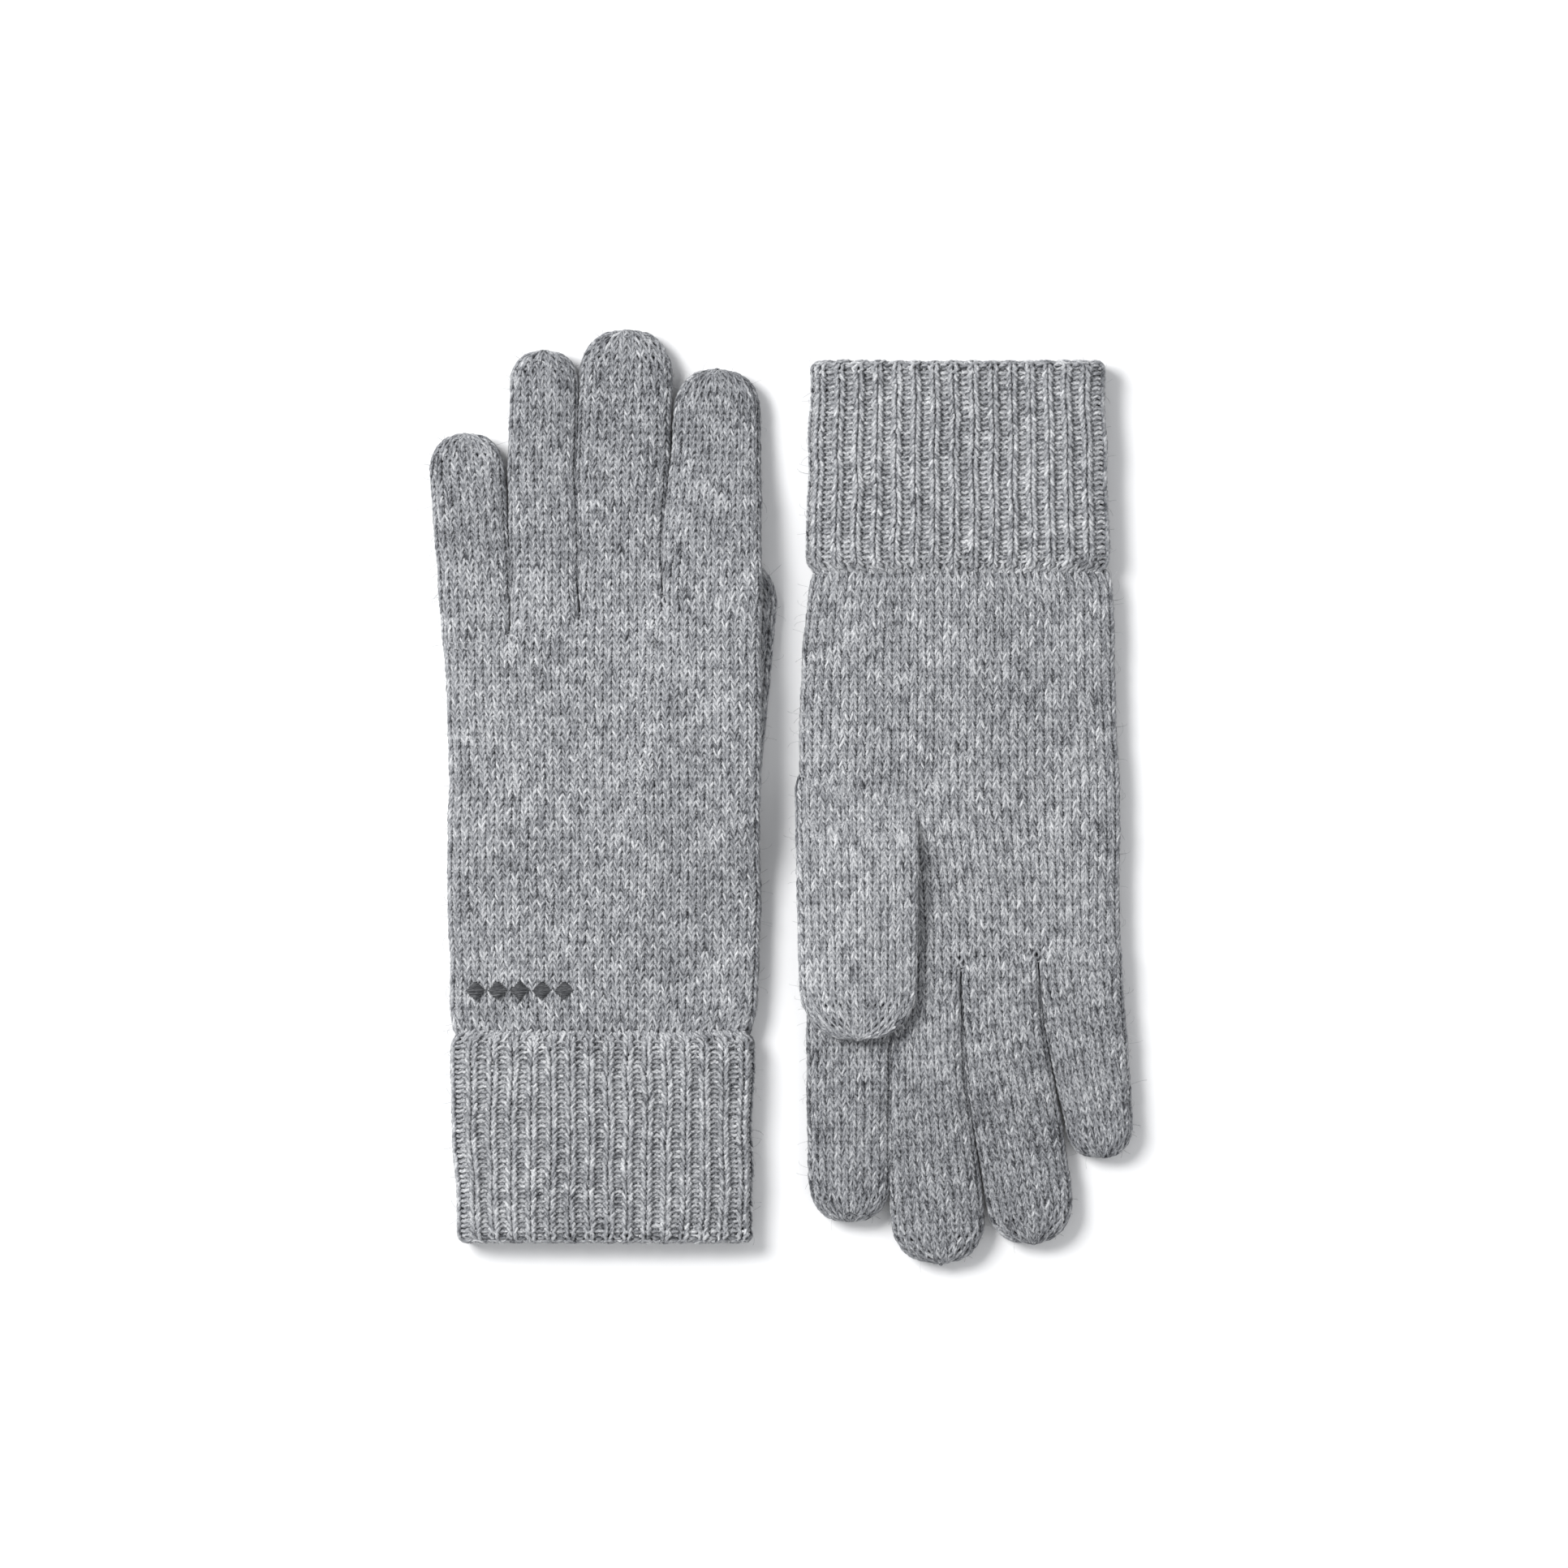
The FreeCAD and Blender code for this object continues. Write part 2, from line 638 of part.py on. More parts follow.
def elastic_rings(side):
    """Three covered elastic threads that run round the cuff between its two layers."""
    name = f"{side}_cuff_elastics"
    half = size("cuff_thick") / 2
    slope = (size("cuff_root_half_width") - size("cuff_mouth_half_width")) / size("cuff_length")
    thread = size("elastic_size")
    inset = size("rim_wall") - size("facing_wall") - size("elastic_clear")
    rings = []
    for number in range(1, ELASTICS + 1):
        along = number * size("elastic_pitch") - half
        half_width = size("cuff_root_half_width") - along * slope - inset
        half_height = half - inset
        outer = ring_block(f"{name}_{number}_outer", half_width + thread, half_height + thread, along, thread)
        inner = ring_block(f"{name}_{number}_inner", half_width, half_height, along, 3 * thread)
        ring = doc.addObject("Part::Cut", f"{name}_{number}")
        ring.Base = outer
        ring.Tool = inner
        rings.append(ring)
    group = doc.addObject("Part::Compound", name)
    group.Label = name
    group.Links = rings
    doc.recompute()
    group.Placement = cuff_frame(side)
    return group


def ring_block(name, half_width, half_height, along, length):
    """A block across the cuff, centred at a distance along it."""
    block = doc.addObject("Part::Box", name)
    block.Length = 2 * half_width
    block.Width = length
    block.Height = 2 * half_height
    block.Placement = Placement(Vector(-half_width, -along - length / 2, -half_height), Rotation())
    return block


def tip_yarn(side, digit):
    """The knot and tail of the yarn that draws a fingertip closed, inside the tip."""
    name = f"{side}_{digit}_tip_yarn"
    kind = "thumb" if digit == "thumb" else "finger"
    knot_radius = size("tip_knot_radius")
    tail_radius = size("tip_tail_radius")
    inside = size(f"{side}_{digit}_length") - size(f"{kind}_wall")
    knot_y = inside - knot_radius - size("tip_clear")
    knot = doc.addObject("Part::Sphere", f"{name}_knot")
    knot.Radius = knot_radius
    knot.Placement = Placement(Vector(0, knot_y, 0), Rotation())
    tail = doc.addObject("Part::Cylinder", f"{name}_tail")
    tail.Radius = tail_radius
    tail.Height = size("tip_tail_length")
    tail.Placement = Placement(Vector(0, knot_y, 0), Rotation(Vector(1, 0, 0), 90))
    yarn = doc.addObject("Part::Fuse", name)
    yarn.Label = name
    yarn.Base = knot
    yarn.Tool = tail
    doc.recompute()
    yarn.Placement = digit_frame(side, digit)
    return yarn


def crotch_spots(side):
    """Where the crotch stitches lie: x, y and the height of the fabric there."""
    spots = []
    for low, high in zip(FINGERS, FINGERS[1:]):
        left_end = [evaluate(value) for value in root_ends(side, low)[1]]
        right_end = [evaluate(value) for value in root_ends(side, high)[0]]
        x = (left_end[0] + right_end[0]) / 2
        y = min(left_end[1], right_end[1]) - size("stitch_back")
        raised = side == "left" and x > size("bump_side")
        spots.append((x, y, size("bump_top") if raised else size("palm_thick")))
    return spots


def sink_crotch_stitches(body, name, side):
    """Shallow grooves in the hand that hold the crotch stitches flush."""
    half_length = size("stitch_length") / 2 + size("stitch_clear")
    half_width = size("stitch_size") / 2 + size("stitch_clear")
    for number, (x, y, top) in enumerate(crotch_spots(side), start=1):
        groove = new_sketch(body, "XY_Plane", f"{name}_groove_{number}")
        corners = [(-half_length, -half_width), (half_length, -half_width)]
        corners += [(half_length, half_width), (-half_length, half_width)]
        polygon(groove, [(f"{x + across}", f"{y + along}") for across, along in corners])
        raise_sketch(groove, f"{top} - Dims.stitch_size - Dims.stitch_clear")
        pocket(body, groove, f"{name}_groove_{number}_cut", "Dims.stitch_size + Dims.over")


def crotch_stitches(side):
    """Short closing stitches on the hand between neighbouring finger roots."""
    name = f"{side}_crotch_stitches"
    length = size("stitch_length")
    width = size("stitch_size")
    bars = []
    for number, (x, y, top) in enumerate(crotch_spots(side), start=1):
        bar = doc.addObject("Part::Box", f"{name}_{number}")
        bar.Length = length
        bar.Width = width
        bar.Height = width
        bar.Placement = Placement(Vector(x - length / 2, y - width / 2, top - width), Rotation())
        bars.append(bar)
    group = doc.addObject("Part::Compound", name)
    group.Label = name
    group.Links = bars
    doc.recompute()
    group.Placement = glove_frame(side)
    return group


def woven_mark():
    """A plain row of five diamonds, embroidered on the back of the left glove by the cuff."""
    name = "left_embroidered_mark"
    side = size("mark_side")
    turn = Rotation(Vector(0, 0, 1), 45)
    to_corner = Placement(Vector(-side / 2, -side / 2, 0), Rotation())
    diamonds = []
    for number in range(DIAMONDS):
        diamond = doc.addObject("Part::Box", f"{name}_{number + 1}")
        diamond.Length = side
        diamond.Width = side
        diamond.Height = size("mark_thick")
        centre_x = size("mark_x") + number * size("mark_pitch")
        centre = Vector(centre_x, size("mark_y"), size("palm_thick"))
        diamond.Placement = Placement(centre, turn).multiply(to_corner)
        diamonds.append(diamond)
    group = doc.addObject("Part::Compound", name)
    group.Label = name
    group.Links = diamonds
    doc.recompute()
    group.Placement = glove_frame("left")
    return group


def build_glove(side):
    """Every sub-part of one glove."""
    parts = [hand_body(side), seam_body(side), crotch_stitches(side)]
    parts += [rib_cuff_body(side), facing_body(side), elastic_rings(side)]
    for digit in DIGITS[side]:
        parts += [digit_body(side, digit), tip_yarn(side, digit)]
    if side == "left":
        parts.append(woven_mark())
    return parts


def check(parts):
    """Stop if any object of the document failed or any sub-part's shape is bad."""
    doc.recompute()
    for item in doc.Objects:
        if "Invalid" in item.State or "Error" in item.State:
            raise RuntimeError(f"{item.Name} failed: {item.State}")
    for part in parts:
        if part.Shape.isNull() or not part.Shape.isValid() or not part.Shape.Solids:
            raise RuntimeError(f"{part.Label} has a bad shape")


def write(parts):
    """Write each sub-part to its own STEP file and print its size."""
    os.makedirs("parts", exist_ok=True)
    for part in parts:
        part.Shape.exportStep(f"parts/{part.Label}.step")
        box = part.Shape.BoundBox
        print(f"{part.Label:24s} {part.Shape.Volume:9.1f} {len(part.Shape.Solids)} {box}")


fill_sheet()
ALL_PARTS = build_glove("left") + build_glove("right")
check(ALL_PARTS)
write(ALL_PARTS)
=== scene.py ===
"""Looks of the pair of knitted gloves: every stitch is a loop of yarn laid on the frame's own places."""

import json
import math

import bpy
import numpy as np
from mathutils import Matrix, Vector


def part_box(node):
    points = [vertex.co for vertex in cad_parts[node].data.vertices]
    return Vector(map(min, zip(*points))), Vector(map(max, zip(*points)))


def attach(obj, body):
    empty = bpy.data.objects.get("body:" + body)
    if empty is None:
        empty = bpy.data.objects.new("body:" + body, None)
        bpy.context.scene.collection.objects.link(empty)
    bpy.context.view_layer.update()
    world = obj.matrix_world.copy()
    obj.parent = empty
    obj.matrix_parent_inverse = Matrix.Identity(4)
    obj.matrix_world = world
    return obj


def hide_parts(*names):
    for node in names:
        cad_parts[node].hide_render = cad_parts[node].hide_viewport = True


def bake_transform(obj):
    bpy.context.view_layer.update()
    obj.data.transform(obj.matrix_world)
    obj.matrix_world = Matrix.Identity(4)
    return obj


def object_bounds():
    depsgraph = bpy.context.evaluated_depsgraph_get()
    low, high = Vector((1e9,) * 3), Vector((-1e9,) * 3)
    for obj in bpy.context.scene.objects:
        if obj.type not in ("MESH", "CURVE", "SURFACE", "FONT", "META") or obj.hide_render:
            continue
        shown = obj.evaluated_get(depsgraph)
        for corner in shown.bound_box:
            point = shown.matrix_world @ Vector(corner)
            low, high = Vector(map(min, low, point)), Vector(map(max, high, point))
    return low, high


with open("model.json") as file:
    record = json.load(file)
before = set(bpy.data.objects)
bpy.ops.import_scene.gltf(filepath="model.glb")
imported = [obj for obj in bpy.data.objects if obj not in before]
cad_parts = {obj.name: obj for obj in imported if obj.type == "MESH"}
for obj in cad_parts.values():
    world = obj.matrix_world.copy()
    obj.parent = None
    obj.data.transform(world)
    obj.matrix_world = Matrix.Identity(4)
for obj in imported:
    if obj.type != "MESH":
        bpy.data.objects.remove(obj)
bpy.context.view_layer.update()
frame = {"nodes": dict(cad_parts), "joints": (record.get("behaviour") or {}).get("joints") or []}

MM = 0.001
JOINTS = {joint["name"]: joint for joint in frame["joints"]}
FINGERS = ("little", "ring", "middle", "index")
DIGITS = FINGERS + ("thumb",)

# Yarn and stitches, in millimetres.
YARN_RADIUS = 0.58
CUFF_YARN_RADIUS = 0.66
SEAM_YARN_RADIUS = 0.5
CROTCH_YARN_RADIUS = 0.42
MARK_THREAD_RADIUS = 0.27
ELASTIC_RADIUS = 0.4
HAIR_RADIUS = 0.035
STITCH_WIDTH = 2.56
STITCH_SPACING = 2.53  # over a flattened tube, where the stitches on its sides count too
COURSE_HEIGHT = 1.96
CUFF_COURSE = 1.46
LOOP_DEPTH = 0.42
LONGEST_LOOP = 2.3  # along the wale, where a tip turns in
SKIN = YARN_RADIUS + LOOP_DEPTH  # from the surface that the loops are laid on to the outside
LINER_DROP = 0.55  # from that surface down to the closed sheet under the loops
RIB_RELIEF = 0.62
RIB_SHIFT = 0.45

# Shapes of a stitch, as shares of its width or of the course height.
SPREAD = 0.315  # how far a loop's legs splay
REACH = 1.08  # how far a loop reaches up and down
CLOSE = 0.075  # how far the two legs of a stitch draw together
CLOSE_RIB = 0.08
PLAIN_LOOP = (SPREAD, REACH, LOOP_DEPTH)
NO_LOOP = (0.0, 0.0, 0.0)
SEAM_LOOP = (0.2, 0.45, 0.3)
STEPS = 9  # points along the yarn in each stitch
SIDES = 5  # flats round the yarn

# How much one stitch differs from the next.
UNEVEN_STITCH = 0.07
UNEVEN_HEIGHT = 0.09  # mm, off the cloth

# Lighter or darker than the yarn's own colour.
# The closed sheets under the loops are darkened as painted shade. It shows in the gaps between stitches and
# on the cuff's inner layer, where the real knit is only in shadow.
GAP_SHADE_TONE = -0.5
RIB_GAP_SHADE_TONE = -0.25
FACING_INSIDE_SHADE_TONE = -0.2
FINGER_TONE = -0.06
THUMB_TONE = 0.015
CUFF_TONE = 0.04
CROTCH_TONE = -0.12
HAIR_TONE = 0.12
TONE_RUN = 30  # mm over which a digit takes on its tone

FRONT_WALES = {  # wales across the top of each tube
    "left": {"palm": 38, "little": 10, "ring": 10, "middle": 12, "index": 14, "thumb": 14, "cuff": 32},
    "right": {"palm": 38, "little": 12, "ring": 12, "middle": 12, "index": 12, "thumb": 16, "cuff": 32},
}
KNITS = {  # height of a course, tone, yarn radius, and the drop and the painted shade tone of the sheet under it
    "plain": (COURSE_HEIGHT, 0.0, YARN_RADIUS, LINER_DROP, GAP_SHADE_TONE),
    "rib": (CUFF_COURSE, CUFF_TONE, CUFF_YARN_RADIUS, LINER_DROP + RIB_RELIEF, RIB_GAP_SHADE_TONE),
}
HAIRS = {"palm band": 500, "digit": 260, "cuff piece": 350}
HAIR_LENGTHS = (1.5, 5.0)
HAIR_BEND = 0.5
LOWEST_HAIR = 1.5  # mm off the floor, where a hair may start
ALONG_Y = np.array([0.0, 1.0, 0.0])
FOLD_START, FOLD_END = 1.0, 12.0  # mm below the wrist
DIGIT_FOLD = 14  # mm along a digit from the start to the end of its blend span


# ---------------------------------------------------------------- places taken from the frame
class Glove:
    """One glove's own axes in millimetres: origin mid-wrist, +y to the fingertips, +z up."""

    def __init__(self, side):
        self.side = side
        cuff_low, cuff_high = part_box(side + "_rib_cuff")
        hand_low, hand_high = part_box(side + "_hand")
        self.turn = 1 if hand_high.y + hand_low.y > cuff_high.y + cuff_low.y else -1
        wrist = cuff_high.y if self.turn > 0 else cuff_low.y
        self.origin = np.array([(cuff_low.x + cuff_high.x) / 2, wrist, 0.0]) / MM
        self.cuff_length = (cuff_high.y - cuff_low.y) / MM
        self.cuff_half_width = (cuff_high.x - cuff_low.x) / 2 / MM
        self.cuff_height = cuff_high.z / MM

    def to_row(self, points):
        """Points in this glove's axes as points in the row frame, in metres."""
        flip = np.array([self.turn, self.turn, 1.0])
        return (np.asarray(points, float) * flip + self.origin) * MM

    def from_row(self, points):
        """Points in the row frame as points in this glove's axes."""
        flip = np.array([self.turn, self.turn, 1.0])
        return (np.asarray(points, float) / MM - self.origin) * flip

    def box(self, node):
        """(lowest, highest corner) of a node in this glove's axes."""
        corners = np.array([self.from_row(c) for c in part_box(f"{self.side}_{node}")])
        return corners.min(0), corners.max(0)

    def hinge(self, digit):
        """(hinge point, direction of the digit) in this glove's axes."""
        joint = JOINTS[f"{self.side}_{digit}_fold"]
        point = self.from_row(joint["pos_m"])
        axis = np.array(joint["axis"]) * np.array([self.turn, self.turn, 1.0])
        along = np.array([-axis[1], axis[0], 0.0])
        if along[1] < 0:
            along = -along
        return point, along

    def wrist_fold(self):
        """The span between the hand and the cuff that the cuff's pieces are given as a blend: (body, body,
        start, end).
        """
        start = np.array([0.0, -FOLD_START, self.cuff_height / 2])
        end = np.array([0.0, -FOLD_END, self.cuff_height / 2])
        return f"{self.side}_hand", f"{self.side}_cuff", start, end


GLOVES = {side: Glove(side) for side in ("left", "right")}


# ---------------------------------------------------------------- knitted tubes
def smooth(value, low, high):
    """0 below low, 1 above high, and a soft step between them."""
    share = np.clip((np.asarray(value, float) - low) / (high - low), 0, 1)
    return share * share * (3 - 2 * share)


def ring_points(half_width, half_height, powers, count, knots=None, pull=0.0):
    """A flattened ring, from its low-x side over the top to the other side and back underneath.

    Its points are evenly spaced, or pulled so that given shares of the top fall at given places, the knots.
    """
    angle = np.pi - np.linspace(0, 2 * np.pi, 721)
    power = np.where(np.cos(angle) < 0, powers[0], powers[1])
    x = half_width * np.sign(np.cos(angle)) * np.abs(np.cos(angle)) ** (2 / power)
    z = half_height * np.sign(np.sin(angle)) * np.abs(np.sin(angle)) ** (2 / power)
    run = np.concatenate([[0], np.cumsum(np.hypot(np.diff(x), np.diff(z)))])
    wanted = np.linspace(0, run[-1], count, endpoint=False)
    if knots is not None and pull > 0:
        shares, places = np.array(knots).T
        top = np.interp(places, x[:361], run[:361])
        half = run[-1] / 2
        ends = np.concatenate([[0], top, [half]])
        shares = np.concatenate([[0], shares, [1]]) * half
        folded = np.where(wanted <= half, wanted, 2 * half - wanted)
        pulled = np.interp(folded, shares, ends)
        pulled = np.where(wanted <= half, pulled, 2 * half - pulled)
        wanted = wanted + (pulled - wanted) * pull
    return np.interp(wanted, run, x), np.interp(wanted, run, z)


class Tube:
    """A knitted tube along a line of stations.

    Each station: at, x, y, z, half width, half height, squareness of the low-x side, and of the other side.
    wales is (knots, pull) as ring_points takes them, from a function of the station.
    """

    def __init__(self, rows, drape=None, wales=None, straight=False):
        self.rows = np.array(rows, float)
        self.drape = drape
        self.wales = wales
        self.straight = straight

    def station(self, at):
        """x, y, z, half width, half height and the two powers at one place along the tube."""
        return [np.interp(at, self.rows[:, 0], self.rows[:, i]) for i in range(1, 8)]

    def points(self, at, count):
        """Evenly spaced points round the tube at one station, in the glove's axes."""
        x, y, z, half_width, half_height, low_power, high_power = self.station(at)
        heading = np.array([0.0, 1.0])
        if not self.straight:
            before, after = self.station(at - 1.5), self.station(at + 1.5)
            heading = np.array([after[0] - before[0], after[1] - before[1]])
            heading = heading / max(np.linalg.norm(heading), 1e-9)
        knots, pull = self.wales(at) if self.wales else (None, 0.0)
        across, up = ring_points(half_width, half_height, (low_power, high_power), count, knots, pull)
        made = np.stack([x + across * heading[1], y - across * heading[0], z + up], axis=1)
        return made if self.drape is None else self.drape(made)


TWITCH = np.random.default_rng(5)


def per_stitch(stitches, size):
    """A fixed random number for each stitch, eased from one to the next along the yarn."""
    values = TWITCH.normal(0, size, stitches)
    at = np.arange(stitches * STEPS) / STEPS - 0.5
    return np.interp(at, np.arange(-1, stitches + 1), np.concatenate([values[-1:], values, values[:1]]))


def lay_course(tube, at, stitches, height, rib=0.0, shape=PLAIN_LOOP):
    """The centre line of one course of stitches, as (points, outward normals), both in the glove's axes.

    rib is how far every other stitch turns into a purl, from 0 for plain knit to 1.
    """
    count = stitches * STEPS
    step = 0.25
    middle = tube.points(at, count)
    along = (tube.points(at + step, count) - tube.points(at - step, count)) / (2 * step) * height
    along_length = np.linalg.norm(along, axis=1, keepdims=True)
    along *= np.minimum(1.0, LONGEST_LOOP / np.maximum(along_length, 1e-9))
    around = (np.roll(middle, -1, 0) - np.roll(middle, 1, 0)) / 2 * STEPS
    normal = np.cross(around, along)
    normal /= np.maximum(np.linalg.norm(normal, axis=1, keepdims=True), 1e-9)
    turn = np.arange(count) / STEPS * 2 * np.pi
    spread, reach, depth = shape
    close = 0.0
    if reach:
        close = CLOSE_RIB if rib else CLOSE
        spread = spread * (1 + per_stitch(stitches, 2 * UNEVEN_STITCH))
        reach = reach * (1 + per_stitch(stitches, UNEVEN_STITCH))
        middle = middle + normal * per_stitch(stitches, UNEVEN_HEIGHT)[:, None]
        middle = middle + around * per_stitch(stitches, 0.6 * UNEVEN_STITCH)[:, None]
    face = 1 - rib + rib * np.tanh(3.0 * np.sin(turn / 2))
    sideways = spread * np.sin(2 * turn) + close * np.sin(turn)
    lift = -depth * np.cos(2 * turn) * face
    if rib:
        sideways = sideways - rib * RIB_SHIFT / STITCH_WIDTH * np.cos(turn / 2)
        lift = lift + RIB_RELIEF * face * rib
    line = (middle + around * sideways[:, None] - along * (reach * np.cos(turn))[:, None]
            + normal * lift[:, None])
    return line, normal


class Yarn:
    """Collects closed and open yarns as one mesh with the yarn's own running length as UVs."""

    def __init__(self):
        self.points, self.faces, self.uvs, self.shade = [], [], [], []
        self.total = 0
        self.random = np.random.default_rng(7)

    def add(self, line, normal, radius, closed=True, sides=SIDES, tone=0.0):
        """One yarn along a line, with the directions away from the cloth, which its UVs start from."""
        count = len(line)
        if closed:
            tangent = np.roll(line, -1, 0) - np.roll(line, 1, 0)
        else:
            tangent = np.gradient(line, axis=0)
        tangent /= np.maximum(np.linalg.norm(tangent, axis=1, keepdims=True), 1e-9)
        first = normal - tangent * np.sum(normal * tangent, axis=1, keepdims=True)
        first /= np.maximum(np.linalg.norm(first, axis=1, keepdims=True), 1e-9)
        second = np.cross(tangent, first)
        angle = np.arange(sides) / sides * 2 * np.pi
        radius = np.broadcast_to(np.asarray(radius, float), (count,))
        offset = (first[:, None, :] * np.cos(angle)[None, :, None]
                  + second[:, None, :] * np.sin(angle)[None, :, None])
        points = line[:, None, :] + offset * radius[:, None, None]
        self.points.append(points.reshape(-1, 3))
        rings = count if closed else count - 1
        ring = np.arange(rings)[:, None]
        ahead = (ring + 1) % count
        flat = np.arange(sides)[None, :]
        beside = (flat + 1) % sides
        corners = [ring * sides + flat, ring * sides + beside, ahead * sides + beside, ahead * sides + flat]
        self.faces.append(np.stack(corners, axis=2).reshape(-1, 4) + self.total)
        self.total += count * sides
        run = np.concatenate([[0], np.cumsum(np.linalg.norm(np.diff(line, axis=0), axis=1))])
        run = np.append(run, run[-1] + np.linalg.norm(line[0] - line[-1])) + self.random.uniform(0, 900)
        u_low = np.repeat(run[:rings], sides).reshape(rings, sides)
        u_high = np.repeat(run[1:rings + 1], sides).reshape(rings, sides)
        v_low = np.broadcast_to(np.arange(sides) / sides, (rings, sides))
        v_high = v_low + 1 / sides
        uv = np.stack([u_low, v_low, u_low, v_high, u_high, v_high, u_high, v_low], axis=2)
        self.uvs.append(uv.reshape(-1, 2))
        self.shade.append(np.full(rings * sides, tone))

    def add_skin(self, rings, tone):
        """A closed sheet through rings of equal count, under the yarn, so that nothing shows through it.
        Its dark tone is painted shade in the gaps between the loops.
        """
        count = len(rings[0])
        self.points.append(np.concatenate(rings))
        rows = np.arange(len(rings) - 1)[:, None] * count
        here = rows + np.arange(count)[None, :]
        beside = rows + (np.arange(count)[None, :] + 1) % count
        faces = np.stack([here, beside, beside + count, here + count], axis=2).reshape(-1, 4)
        self.faces.append(faces + self.total)
        self.total += count * len(rings)
        self.uvs.append(np.tile([[0, 0.0], [2, 0.0], [2, 1.0], [0, 1.0]], (len(faces), 1)))
        self.shade.append(np.full(len(faces), tone))

    def build(self, name, glove, material):
        """The collected yarns as one object in the row frame."""
        points = glove.to_row(np.concatenate(self.points))
        faces = np.concatenate(self.faces)
        mesh = bpy.data.meshes.new(name)
        mesh.vertices.add(len(points))
        mesh.vertices.foreach_set("co", points.astype(np.float32).ravel())
        mesh.loops.add(faces.size)
        mesh.loops.foreach_set("vertex_index", faces.astype(np.int32).ravel())
        mesh.polygons.add(len(faces))
        mesh.polygons.foreach_set("loop_start", np.arange(0, faces.size, 4, dtype=np.int32))
        mesh.update(calc_edges=True)
        mesh.polygons.foreach_set("use_smooth", np.ones(len(faces), bool))
        layer = mesh.uv_layers.new(name="yarn")
        layer.data.foreach_set("uv", np.concatenate(self.uvs).astype(np.float32).ravel())
        tone = mesh.attributes.new("tone", "FLOAT", "FACE")
        tone.data.foreach_set("value", np.concatenate(self.shade).astype(np.float32))
        mesh.materials.append(material)
        made = bpy.data.objects.new(name, mesh)
        bpy.context.scene.collection.objects.link(made)
        return made


# ---------------------------------------------------------------- materials
class Nodes:
    """Short-hand for wiring a material's nodes."""

    def __init__(self, name, roughness, sheen, sheen_roughness=0.5):
        self.material = bpy.data.materials.new(name)
        self.material.use_nodes = True
        self.tree = self.material.node_tree
        self.shader = self.tree.nodes["Principled BSDF"]
        self.shader.inputs["Roughness"].default_value = roughness
        self.shader.inputs["Sheen Weight"].default_value = sheen
        self.shader.inputs["Sheen Roughness"].default_value = sheen_roughness
        self.shader.inputs["Specular IOR Level"].default_value = 0.2

    def node(self, kind, **values):
        """A new node with the given settings."""
        made = self.tree.nodes.new(kind)
        for key, value in values.items():
            setattr(made, key, value)
        return made

    def link(self, source, target):
        """Join an output to an input."""
        self.tree.links.new(source, target)

    def noise(self, vector, scale, detail=3.0, roughness=0.55, stretch=None):
        """A noise texture's value, with its vector stretched first if asked."""
        if stretch is not None:
            mapping = self.node("ShaderNodeMapping")
            mapping.inputs["Scale"].default_value = stretch
            self.link(vector, mapping.inputs["Vector"])
            vector = mapping.outputs["Vector"]
        made = self.node("ShaderNodeTexNoise")
        made.inputs["Scale"].default_value = scale
        made.inputs["Detail"].default_value = detail
        made.inputs["Roughness"].default_value = roughness
        self.link(vector, made.inputs["Vector"])
        return made.outputs["Fac"]

    def add(self, first, first_share, second, second_share, rest):
        """first * first_share + second * second_share + rest."""
        low = self.node("ShaderNodeMath", operation="MULTIPLY_ADD")
        self.link(first, low.inputs[0])
        low.inputs[1].default_value = first_share
        low.inputs[2].default_value = rest
        made = self.node("ShaderNodeMath", operation="MULTIPLY_ADD")
        self.link(second, made.inputs[0])
        made.inputs[1].default_value = second_share
        self.link(low.outputs[0], made.inputs[2])
        return made.outputs[0]

    def painted_round_shade(self, running):
        """1 along the crown of a yarn and -1 along its underside, from its UVs: painted shade that darkens
        each yarn's sides and underside.
        """
        parts = self.node("ShaderNodeSeparateXYZ")
        self.link(running, parts.inputs[0])
        angle = self.node("ShaderNodeMath", operation="MULTIPLY")
        self.link(parts.outputs["Y"], angle.inputs[0])
        angle.inputs[1].default_value = 2 * math.pi
        cosine = self.node("ShaderNodeMath", operation="COSINE")
        self.link(angle.outputs[0], cosine.inputs[0])
        return cosine.outputs[0]

    def ramp(self, value, stops):
        """A colour ramp over (place, colour) stops."""
        made = self.node("ShaderNodeValToRGB")
        while len(made.color_ramp.elements) < len(stops):
            made.color_ramp.elements.new(0.5)
        for element, (place, colour) in zip(made.color_ramp.elements, stops, strict=True):
            element.position = place
            element.color = (*colour, 1.0)
        self.link(value, made.inputs["Fac"])
        return made.outputs["Color"]

    def bump(self, height, distance):
        """Let a value stand for height on the shader's surface."""
        made = self.node("ShaderNodeBump")
        made.inputs["Strength"].default_value = 0.6
        made.inputs["Distance"].default_value = distance
        self.link(height, made.inputs["Height"])
        self.link(made.outputs["Normal"], self.shader.inputs["Normal"])


